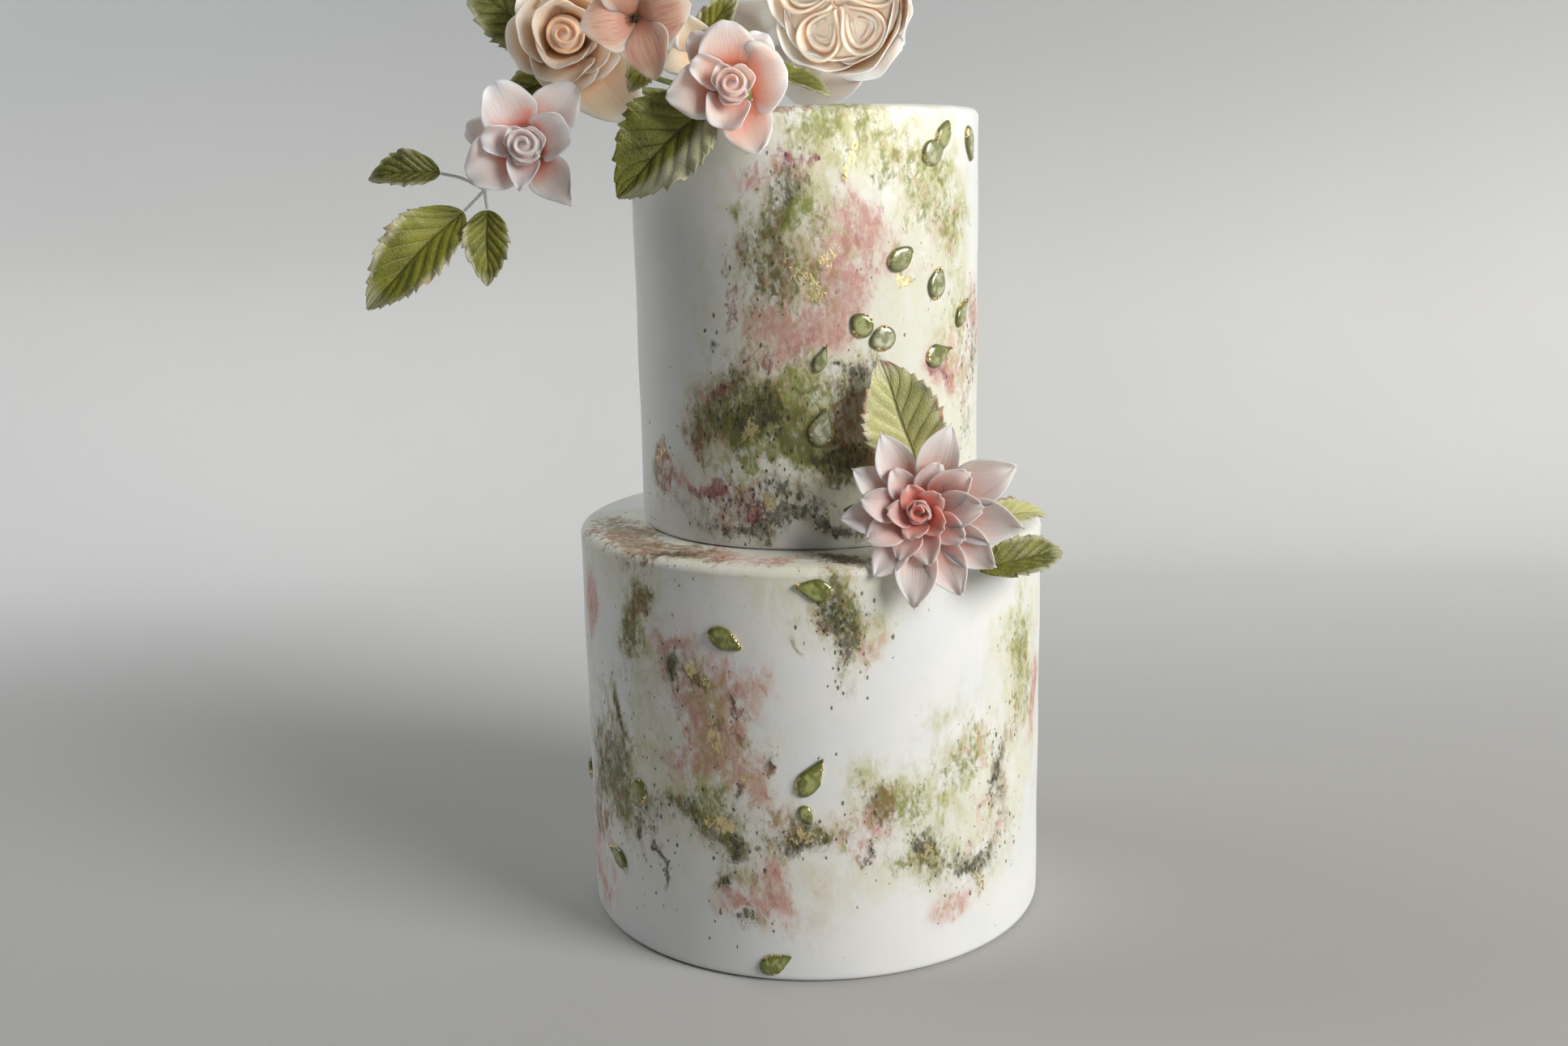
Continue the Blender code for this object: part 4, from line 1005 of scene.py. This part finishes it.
tiers = {
    "lower": {
        "radius": 93.3, "height": 159.0, "foot": 0.0, "seed": 21.0, "loose": 9, "clear": 0.25,
        "drops": [(0, 151, 12, 8.5, 165, 0.8), (-21, 132, 12.5, 8.5, -25, 0.6),
                  (-82, 56, 10, 8.5, 250, 0.7), (-47, 65, 11, 9.5, 250, 0.5), (-2, 80, 14.5, 8.5, 60, 1.0),
                  (-57, 33, 12, 7.5, 160, 1.0), (-11, 7, 12, 8, 30, 0.8), (-3, 67, 7, 5, 300, 0.8)],
        "green": [(18, 69, 16, 9, 0.7), (36, 81, 12, 8, 0.6), (59, 114, 10, 26, 0.7), (-25, 97, 9, 19, 0.5),
                  (-24, 64, 11, 8, 0.7), (25, 46, 16, 8, 0.6), (6, 141, 8, 12, 0.6),
                  (-46, 100, 15, 30, 0.2), (30, 104, 20, 16, 0.15), (-45, 132, 9, 13, 0.5),
                  (-20, 38, 7, 6, 0.5), (8, 172, 10, 5, 0.6)],
        "olive": [(-46, 135, 7, 11, 0.9), (-61, 69, 15, 16, 1.1), (-52, 57, 6, 8, 0.8),
                  (-33, 116, 3, 6, 1.2), (-26, 114, 4, 4, 1), (5, 146, 7, 11, 1), (-31, 65, 7, 4, 0.9),
                  (-25, 57, 6, 5, 1), (-20, 51, 5, 5, 1.1), (-6, 60, 8, 5, 1.2), (28, 48, 6, 5, 1.1),
                  (13, 64, 4, 6, 0.9), (-24, 35, 5, 4, 0.8), (-16, 20, 4, 3, 0.9), (38, 37, 10, 5, 0.7),
                  (50, 66, 5, 17, 0.7), (-4, 130, 1, 2, 1), (-54, 97, 2, 9, 0.8), (7, 174, 8, 4, 1),
                  # the broad olive patch at -58 degrees on the ledge: partly its paint, partly painted shade
                  # cast by the upper tier
                  (-38, 164, 7, 3, 0.9), (-58, 171, 26, 7, 0.5)],
        "pink": [(-28, 100, 24, 32, 0.22), (14, 54, 26, 15, 0.22), (-10, 30, 30, 14, 0.22),
                 (-70, 131, 6, 14, 1.1), (-32, 126, 6, 3, 0.9), (-32, 101, 4, 9, 0.9), (-25, 89, 7, 9, 1.3),
                 (-14, 79, 5, 7, 1.2), (-20, 110, 10, 14, 0.4), (10, 128, 4, 4, 0.9), (-11, 41, 5, 9, 0.9),
                 (-19, 28, 5, 3, 1), (1, 59, 4, 4, 0.7), (12, 60, 4, 6, 0.8), (69, 93, 8, 10, 1),
                 (-71, 23, 13, 16, 0.8), (30, 26, 8, 5, 0.5), (-27, 173, 8, 5, 1.2),
                 (-12, 172, 10, 5, 0.7)],
        "plum": [(-19, 110, 3, 2, 0.8), (-24, 96, 2, 3, 0.7), (-10, 87, 2, 3, 0.7), (-19, 28, 2, 2, 0.6)],
        "soot": [(5, 132, 4, 13, 1.1), (-33, 115, 2, 5, 1), (-21, 49, 5, 4, 1.2), (-5, 57, 7, 4, 1.1),
                 (-24, 34, 4, 4, 1), (-17, 20, 5, 3, 0.9), (49, 67, 6, 15, 0.75), (40, 38, 11, 6, 1),
                 (27, 51, 7, 5, 0.8), (9, 49, 2, 4, 1), (-27, 64, 7, 4, 0.8), (-44, 57, 8, 13, 0.5),
                 (-54, 91, 2, 7, 1), (8, 173, 9, 3, 1.2), (-40, 165, 8, 3, 1.1), (-40, 44, 1, 8, 1.3),
                 (-45, 50, 1, 7, 1.2), (-17, 72, 1, 5, 1.2), (-10, 88, 1, 7, 1.1), (-20, 112, 1, 4, 1.1),
                 (12, 166, 14, 4, 0.9)],
        # the broad brown patch at -62 degrees on the ledge: partly its tan paint, partly painted shade cast
        # by the upper tier
        "brown": [(-62, 172, 34, 11, 0.95), (12, 169, 20, 4, 0.7), (-45, 138, 5, 9, 0.7),
                  (-18, 95, 4, 5, 0.8), (-10, 88, 3, 6, 0.9), (-70, 50, 13, 15, 0.7), (15, 63, 4, 6, 0.6),
                  (-37, 166, 9, 4, 1)],
        "gold": [(-25, 89, 6, 9, 0.8), (-15, 80, 4, 6, 0.8), (-26, 115, 4, 4, 0.9), (-21, 60, 7, 6, 0.9),
                 (-5, 58, 7, 3, 0.9), (28, 48, 6, 5, 1), (40, 28, 5, 6, 0.9), (42, 80, 8, 7, 0.6),
                 (53, 91, 5, 16, 0.6)],
        # the broad pale patches at -50 and -48 degrees on the ledge: partly its cream paint, partly painted
        # shade cast by the upper tier
        "pale": [(-50, 168, 40, 8, 0.6), (61, 110, 18, 30, 0.9), (27, 65, 26, 13, 0.8),
                 (-26, 86, 18, 27, 0.55), (-50, 69, 22, 24, 0.65), (5, 36, 34, 11, 0.25),
                 (46, 50, 15, 20, 0.6), (6, 137, 11, 22, 0.5), (-48, 172, 62, 14, 0.9),
                 (34, 172, 62, 14, 0.8)],
    },
    "upper": {
        "radius": 67.5, "height": 159.0, "foot": 159.3, "seed": 31.0, "loose": 8, "clear": 0.75,
        "drops": [(47, 307, 10.5, 7.5, 60, 0.4), (42, 301, 10, 9.5, 20, 0.1), (64, 305, 12, 7, -75, 0.5),
                  (29, 264, 11, 8.5, 35, 0.3), (44, 254, 11, 9, 70, 0.3), (58, 242, 11, 7, 50, 1.0),
                  (16, 241, 9, 8.5, 130, 0.1), (23, 236, 10, 9, 200, 0.15), (44, 228, 11.5, 9, 15, 1.0),
                  (3, 229, 9, 5, 65, 1.0), (3, 204, 12.5, 9, 80, 0.9)],
        "green": [(4, 313, 14, 6, 0.9), (21, 304, 13, 8, 0.4), (38, 295, 14, 13, 0.5),
                  (47, 277, 12, 15, 0.45), (-2, 282, 7, 7, 1.1), (1, 261, 5, 10, 0.6),
                  (55, 238, 10, 21, 0.45), (0, 216, 12, 9, 0.9), (-17, 206, 19, 9, 1),
                  (-17, 189, 3, 3, 1.3), (-3, 195, 11, 4, 0.9), (-23, 282, 2, 3, 0.8),
                  (-20, 251, 2, 7, 0.5)],
        "olive": [(-6, 278, 4, 10, 0.9), (-10, 262, 6, 11, 0.8), (-27, 207, 13, 8, 1.1),
                  (-12, 209, 11, 8, 1), (1, 200, 9, 6, 0.8), (9, 191, 10, 4, 0.9), (-9, 295, 5, 6, 0.7),
                  (13, 221, 10, 6, 0.5), (-29, 222, 6, 9, 0.6), (-17, 258, 4, 18, 0.45)],
        "pink": [(16, 274, 8, 10, 1), (7, 258, 10, 10, 1), (-9, 235, 8, 7, 1.1), (2, 243, 8, 5, 0.9),
                 (-9, 299, 7, 6, 0.8), (-19, 292, 4, 6, 0.6), (48, 218, 6, 6, 1.1), (58, 229, 7, 5, 0.3),
                 (-31, 221, 6, 4, 0.8), (-43, 210, 3, 9, 0.5), (-15, 250, 6, 14, 0.5),
                 (-36, 184, 11, 3, 0.9), (-53, 179, 7, 8, 0.6), (-26, 176, 9, 4, 0.8),
                 (73, 240, 9, 16, 0.6)],
        "plum": [(-32, 218, 4, 4, 1.1), (-14, 225, 3, 4, 1.1), (-32, 185, 5, 3, 1.1), (-23, 175, 4, 4, 1.1),
                 (-10, 302, 3, 4, 1), (-2, 304, 2, 2, 0.8), (-24, 258, 1, 3, 0.9), (-19, 268, 2, 9, 0.6),
                 (-24, 244, 3, 5, 0.6), (46, 220, 4, 4, 0.8), (-40, 182, 4, 2, 0.7)],
        "soot": [(-17, 206, 7, 5, 1.2), (-12, 214, 6, 5, 0.7), (15, 230, 7, 3, 0.8), (6, 195, 13, 4, 0.9),
                 (-16, 177, 25, 5, 0.8), (-14, 169, 26, 2, 0.9), (2, 167, 24, 3, 0.8),
                 (69, 228, 9, 19, 0.45), (61, 207, 7, 16, 0.4), (-6, 288, 5, 5, 0.7), (-33, 238, 2, 2, 1)],
        "brown": [(-56, 185, 4, 8, 1.3), (-34, 200, 4, 8, 0.8), (15, 194, 4, 6, 1), (-8, 271, 7, 12, 0.5),
                  (18, 212, 3, 12, 0.6), (-5, 323, 20, 3, 0.7), (15, 203, 6, 15, 0.7), (8, 200, 5, 5, 0.5)],
        "gold": [(14, 297, 2, 5, 1.1), (8, 267, 5, 5, 0.8), (-3, 259, 7, 10, 0.7), (27, 255, 3, 3, 1.3),
                 (-17, 203, 4, 5, 1), (-56, 187, 4, 8, 0.9), (-15, 174, 4, 7, 0.9), (35, 261, 8, 6, 0.4)],
        "pale": [(35, 286, 25, 30, 0.7), (42, 240, 24, 40, 0.65), (-5, 213, 28, 20, 0.75),
                 (7, 183, 27, 13, 0.6), (61, 175, 19, 19, 0.9), (-6, 278, 22, 28, 0.6),
                 (-6, 245, 24, 24, 0.6), (-38, 184, 12, 12, 0.5), (-8, 168, 36, 6, 0.6)],
    },
}
tierForm = {
    "rimRound": 4, "crown": 0.25, "swell": 0.12, "wallRows": 136,
    "frontPoints": 360, "backPoints": 110, "backFrom": 92, "backTo": 268,
    "dropDeep": 3.0, "dropOut": 0.26, "dropClear": 0.25, "dropAround": 40, "dropRows": 19,
    "backDrops": 5, "backDrop": 11,
}
paints = ("pale", "green", "pink", "olive", "brown", "plum", "soot", "gold")
paintSizes = {"pale": (20, 22), "green": (11, 12), "pink": (8, 9), "olive": (8, 9), "brown": (4, 8),
              "plum": (4, 4), "soot": (8, 6), "gold": (5, 7)}
brush = {"waves": 7, "shortest": 5.0, "growth": 1.5, "sway": 0.055, "mixed": 0.7, "mixedMost": 0.8}


def loosePatches(data, paint):
    # the side that the photograph doesn't show carries on in the same way
    chance = random.Random(f"{data['seed']} {paint}")
    wide, tall = paintSizes[paint]
    made = []
    for _ in range(data["loose"]):
        lift = chance.choice((0.2, 0.35, 0.5, 0.72)) + chance.uniform(-0.12, 0.12)
        made.append((chance.uniform(tierForm["backFrom"], tierForm["backTo"]),
                     data["foot"] + data["height"] * lift, wide * chance.uniform(0.6, 1.2),
                     tall * chance.uniform(0.6, 1.2), chance.uniform(0.6, 1.1)))
    return made


def paintMasks(data, points):
    radius, top = data["radius"], data["foot"] + data["height"]
    x, y, z = points.T / mm
    angle, out = np.degrees(np.arctan2(x, -y)), np.hypot(x, y)
    bent = top - tierForm["rimRound"] - 0.5  # above this the height runs on inwards over the rim
    level = np.where(z > bent, bent + np.maximum(z - bent, 0) + (radius - out), z)
    level = np.where(z < data["foot"] + 0.5, -999.0, level)
    # the brush wanders: a warp of a few waves in every direction
    arc = np.radians(angle) * radius
    sway = [np.zeros(len(x)), np.zeros(len(x))]
    for axis in (0, 1):
        for wave in range(brush["waves"]):
            length, lean = brush["shortest"] * brush["growth"] ** wave, math.pi * vary(axis + 1, wave)
            slope = arc * math.cos(lean) + z * math.sin(lean)
            push = np.sin(slope * 2 * math.pi / length + 9 * vary(axis + 5, wave))
            sway[axis] += brush["sway"] * length * push
    seam = smooth(180, 160, np.abs(angle))
    arc, level = arc + sway[0] * seam, level + sway[1] * seam
    masks = {}
    for paint in paints:
        total = np.zeros(len(x))
        for a, h, w, t, strength in data[paint] + loosePatches(data, paint):
            turn = 2 * math.pi * radius
            across = (arc - math.radians(a) * radius + 0.5 * turn) % turn - 0.5 * turn
            far = np.sqrt((across * np.maximum(out, 1) / radius / w) ** 2 + ((level - h) / t) ** 2)
            total += strength * (0.75 * smooth(1.5, 0.2, far) + 0.5 * np.exp(-(far / 1.95) ** 2))
        masks["wash" + paint.capitalize()] = np.clip(total, 0, 1.5)
    mixed = brush["mixed"] * (sum(masks.values()) - 0.75 * masks["washPale"])
    masks["washMixed"] = np.clip(mixed, 0, brush["mixedMost"])
    return masks


# Paint laid on in this order. A wash has its paint, its scale, its dabs, the strength where it starts and
# where it is full, its share and its colour; specks have their scale, size, number, share and colour.

washLayers = [
    ("Mixed", 24.0, 0.35, 0.00, 0.95, 0.40, (0.77, 0.76, 0.63)),
    ("Pale", 34.0, 0.40, 0.05, 0.90, 0.66, (0.715, 0.70, 0.50)),
    ("Pink", 48.0, 0.55, 0.06, 1.00, 0.78, (0.68, 0.455, 0.385)),
    ("Green", 52.0, 0.60, 0.08, 1.05, 0.80, (0.47, 0.455, 0.17)),
    ("Olive", 60.0, 0.60, 0.10, 1.05, 0.76, (0.31, 0.27, 0.115)),
    ("Soot", 80.0, 0.70, 0.12, 1.15, 0.52, (0.22, 0.19, 0.13)),
    ("Mixed", 66.0, 0.75, 0.88, 1.35, 0.65, (0.68, 0.38, 0.31)),
    ("Mixed", 78.0, 0.80, 0.88, 1.35, 0.70, (0.37, 0.36, 0.09)),
    ("Mixed", 90.0, 0.90, 0.95, 1.40, 0.60, (0.27, 0.15, 0.07)),
    ("Mixed", 58.0, 0.80, 0.80, 1.15, 0.65, (0.84, 0.84, 0.81)),
    ("Pink", 95.0, 1.00, 0.45, 1.30, 0.68, (0.52, 0.22, 0.18)),
    ("Green", 115.0, 1.00, 0.50, 1.25, 0.82, (0.20, 0.22, 0.025)),
    ("Olive", 105.0, 1.10, 0.45, 1.25, 0.84, (0.115, 0.11, 0.022)),
    ("Brown", 90.0, 0.90, 0.30, 1.00, 0.80, (0.24, 0.12, 0.045)),
    ("Plum", 110.0, 1.00, 0.34, 1.05, 0.78, (0.27, 0.065, 0.085)),
    ("Soot", 150.0, 1.20, 0.68, 1.25, 0.80, (0.05, 0.043, 0.028)),
]
speckLayers = [
    ("Soot", 620.0, 0.30, 0.60, 0.85, (0.035, 0.032, 0.018)),
    ("Olive", 520.0, 0.28, 0.45, 0.80, (0.06, 0.055, 0.012)),
    ("Plum", 560.0, 0.28, 0.55, 0.80, (0.11, 0.02, 0.04)),
    ("Mixed", 700.0, 0.22, 0.14, 0.75, (0.10, 0.08, 0.035)),
]


def makeIcing():
    material, surface, place = newMaterial("paintedIcing")
    tree = place.id_data
    strokes = addNode(tree, "ShaderNodeMapping", {"Vector": place, "Rotation": (0.0, 0.3, 0.0),
                      "Scale": (1.0, 1.0, 0.6)}).outputs[0]
    grain = useGroup(grainGroup, Place=place, Fine=1500.0, Broad=26.0, Share=0.25)
    colour = blendColour(remap(grain["Cloud"], 0.35, 0.65), (0.79, 0.81, 0.81), (0.84, 0.835, 0.815))

    def stain(paint, scale, dabs, low, high):
        mask, = readNumbers(surface, "wash" + paint)
        return useGroup(stainGroup, Place=strokes, Mask=mask, Scale=scale, Dabs=dabs, Low=low,
                        High=high)["Stain"]

    relief = None
    for paint, scale, dabs, low, high, share, over in washLayers:
        mask = stain(paint, scale, dabs, low, high)
        colour = blendColour(times(mask, share), colour, over)
        relief = mask if relief is None else arithmetic("MAXIMUM", relief, times(mask, share))
    for paint, scale, size, gain, share, over in speckLayers:
        mask = times(*readNumbers(surface, "wash" + paint), gain)
        specks = useGroup(speckGroup, Place=strokes, Mask=mask, Scale=scale, Size=size)["Specks"]
        colour = blendColour(times(specks, share), colour, over)
        relief = arithmetic("MAXIMUM", relief, times(specks, share))
    leafGold = stain("Gold", 170.0, 1.0, 0.98, 1.10)
    colour = blendColour(leafGold, colour, (0.90, 0.74, 0.38))
    rough = minus(remap(grain["Height"], 0.2, 0.8, 0.50, 0.62), times(leafGold, 0.3))
    height = plus(plus(times(grain["Height"], 0.5), times(relief, 0.5)), times(leafGold, 0.5))
    dress(surface, {"Base Color": colour, "Metallic": times(leafGold, 0.9), "Roughness": rough,
                    "Subsurface Weight": 0.08, "Subsurface Radius": (1.0, 0.9, 0.8),
                    "Subsurface Scale": 0.002},
          height, 0.4, 0.0006)
    return material


def makeJelly():
    material, surface, place = newMaterial("greenJelly")
    tone, front = readNumbers(surface, "tone", "front")
    inside = noise(place, 230.0, 5.0, Distortion=1.2)
    # the pale layer in the drop's middle is painted light, as if shining through the jelly, and the dark
    # layer at its edge is painted shade
    colour = layered(
        blendColour(remap(inside, 0.4, 0.62), (0.20, 0.22, 0.035), (0.50, 0.53, 0.17)),
        (times(remap(tone, 0.3, 1.0, 0.0, 0.95), remap(inside, 0.38, 0.60, 0.35, 1.0)), (0.86, 0.87, 0.68)),
        (remap(plus(front, times(inside, 0.5)), 0.85, 1.22, 0.0, 0.85), (0.15, 0.155, 0.03)))
    dress(surface, {"Base Color": colour, "Roughness": 0.08, "IOR": 1.42, "Transmission Weight": 0.3,
                    "Coat Weight": 1.0, "Coat Roughness": 0.03}, noise(place, 420.0, 4.0), 0.5, 0.0008)
    return material


def makeChipLook(name, colours, metallic, roughness):
    material, surface, place = newMaterial(name)
    cloud = noise(place, 500.0, 3.0)
    colour = blendColour(remap(cloud, 0.35, 0.65), *colours)
    dress(surface, {"Base Color": colour, "Metallic": metallic, "Roughness": roughness}, cloud, 0.5, 0.0003)
    return material


paintedIcing, greenJelly = makeIcing(), makeJelly()
darkChips = makeChipLook("darkChips", ((0.035, 0.032, 0.012), (0.13, 0.12, 0.03)), 0.0, 0.7)
goldLeaf = makeChipLook("goldLeaf", ((0.78, 0.60, 0.26), (0.90, 0.78, 0.48)), 1.0, 0.28)


def tierProfile(radius, height):
    # pole, flat top, rounded rim, wall, tucked foot and underside; the wall bellies out by a hair
    rim, crown = tierForm["rimRound"], tierForm["crown"]
    line = [(r, height - crown * smooth(radius - 12, radius, r)) for r in np.linspace(0, radius - rim, 26)]
    line += [(radius - rim + rim * math.sin(a), height - rim + (rim - crown) * math.cos(a))
             for a in np.radians(range(9, 90, 9))]
    line += [(radius + tierForm["swell"] * math.sin(0.12 * z) - 0.1, z)
             for z in np.linspace(height - rim, 1.6, tierForm["wallRows"])]
    line += [(radius - 0.5, 0.6), (radius - 1.5, 0.0), (radius * 0.6, 0.0), (0, 0)]
    return [(float(r) * mm, float(z) * mm) for r, z in line]


def dropShell(data, azimuth, level, length, width, turn, pull, tone):
    # a flat jelly drop with a dent in its face and a tail that lifts to a thin tip
    rise = np.radians(np.linspace(90, -90, tierForm["dropRows"]))
    shell = latheShell([(math.cos(a) * 0.5, math.sin(a) * 0.5) for a in rise], tierForm["dropAround"], tone,
                       0)
    x, y, z = shell["points"].T
    size = np.hypot(x, y) * 2
    tail = np.clip(2 * x, 0, 1) * (0.25 + 0.75 * pull)
    # front holds the distance from the drop's middle, from which the jelly's painted edge shade is drawn
    shell["front"] = size
    shell["rim"] = smooth(0.7, 1.0, size) * smooth(-0.1, 0.7, np.sin(2 * np.arctan2(y, x) + turn))
    face = z > 0
    z = np.sign(z) * (np.abs(2 * z) ** 0.85) / 2
    dent = np.where(face, 0.10 * np.clip(1 - size ** 2 * 1.5, 0, 1) ** 2, 0)
    z = z * (1 - 0.35 * tail) - dent + 0.22 * tail ** 4
    side = y * (1 - 0.72 * tail ** 1.3) + 0.05 * tail ** 2 * math.sin(turn)
    shell["points"] = np.stack([x * length * (1 + 0.35 * tail), side * width, z * tierForm["dropDeep"]],
                               axis=-1) * mm
    angle = math.radians(azimuth)
    outward = Vector((math.sin(angle), -math.cos(angle), 0.0))
    spot = outward * (data["radius"] + tierForm["dropOut"]) + Vector((0, 0, level))
    return placed(shell, facing(spot, outward) @ Matrix.Rotation(math.radians(turn), 4, "Z"))


def makeFleckTree():
    # small crumbs or flakes scattered where a mask on the wall says so
    tree, given, result = openTree("GeometryNodeTree", "scatteredFlecks", {
        "Geometry": "Geometry", "Mask": "String", "Density": "Float", "Seed": "Int", "Small": "Vector",
        "Large": "Vector", "Finish": "Material"}, {"Geometry": "Geometry"})
    mask = addNode(tree, "GeometryNodeInputNamedAttribute", {"Name": given["Mask"]},
                   data_type="FLOAT").outputs[0]
    density = times(arithmetic("MAXIMUM", minus(mask, 0.6), 0.0), given["Density"])
    spots = addNode(tree, "GeometryNodeDistributePointsOnFaces", {
        "Mesh": given["Geometry"], "Density": density, "Seed": given["Seed"]})
    size, spin = [addNode(tree, "FunctionNodeRandomValue", {0: low, 1: high, "Seed": seed},
                          data_type="FLOAT_VECTOR")
                  for low, high, seed in ((given["Small"], given["Large"], 3),
                                          ((-0.25, -0.25, 0.0), (0.25, 0.25, 6.28), 5))]
    turned = addNode(tree, "FunctionNodeRotateRotation", {0: spots.outputs["Rotation"], 1: spin.outputs[0]},
                     rotation_space="LOCAL")
    crumb = addNode(tree, "GeometryNodeMeshIcoSphere", {"Radius": 1.0, "Subdivisions": 1})
    many = addNode(tree, "GeometryNodeInstanceOnPoints", {
        "Points": spots.outputs["Points"], "Instance": crumb.outputs[0], "Rotation": turned.outputs[0],
        "Scale": size.outputs[0]})
    realize(tree, many.outputs[0], given["Finish"], result)
    return tree


fleckTree = makeFleckTree()
flecks = {
    "Crumbs": {"mask": "washSoot", "density": 110000.0, "small": (0.18, 0.14, 0.10),
               "large": (0.85, 0.50, 0.24), "seed": 4},
    "GoldFlakes": {"mask": "washGold", "density": 160000.0, "small": (0.15, 0.12, 0.05),
                   "large": (0.65, 0.45, 0.14), "seed": 9},
    "GoldRims": {"mask": "rim", "density": 1.3e7, "small": (0.2, 0.15, 0.06), "large": (0.9, 0.5, 0.14),
                 "seed": 6},
}


def makeTier(which):
    data = tiers[which]
    node = which + "_tier"
    front = np.linspace(-190, 10, tierForm["frontPoints"], endpoint=False)
    back = np.linspace(10, 170, tierForm["backPoints"], endpoint=False)
    profile = [(r, z + data["foot"] * mm) for r, z in tierProfile(data["radius"], data["height"])]
    body = latheShell(profile, np.radians(np.concatenate([front, back])))
    icing = joinShells(which + "TierIcing", [body], [paintedIcing], paintMasks(data, body["points"]))

    # clearness of a drop: the share of painted light in its middle, more on the upper tier than the lower
    def clear(seed, index):
        return data["clear"] + tierForm["dropClear"] * vary(seed, index)

    drops = [dropShell(data, *drop, clear(2, index)) for index, drop in enumerate(data["drops"])]
    for index in range(tierForm["backDrops"]):
        around, rise, long, turn = [vary(data["seed"] + step, index) for step in range(4)]
        azimuth = 100 + 160 * (index + 0.5 + 0.3 * around) / tierForm["backDrops"]
        level = data["foot"] + data["height"] * (0.5 + 0.36 * rise)
        length = tierForm["backDrop"] * (1 + 0.12 * long)
        pull = 0.6 + 0.4 * vary(5, index)
        drops.append(dropShell(data, azimuth, level, length, 0.8 * length, 180 * turn, pull,
                               clear(7, index)))
    jelly = joinShells(which + "TierDrops", drops, [greenJelly])

    for kind, fleck in flecks.items():
        carrier = bpy.data.objects.new(which + "Tier" + kind,
                                       (jelly if kind == "GoldRims" else icing).data.copy())
        bpy.context.scene.collection.objects.link(carrier)
        nodeMesh(carrier, fleckTree, {
            "Mask": fleck["mask"], "Density": fleck["density"], "Seed": fleck["seed"],
            "Small": [s * mm for s in fleck["small"]], "Large": [s * mm for s in fleck["large"]],
            "Finish": darkChips if kind == "Crumbs" else goldLeaf})
        finishPiece(carrier, "icing", node)
    finishPiece(icing, "icing", node)
    finishPiece(jelly, "icing", node)


makeTier("lower")
makeTier("upper")
print("tiers done")
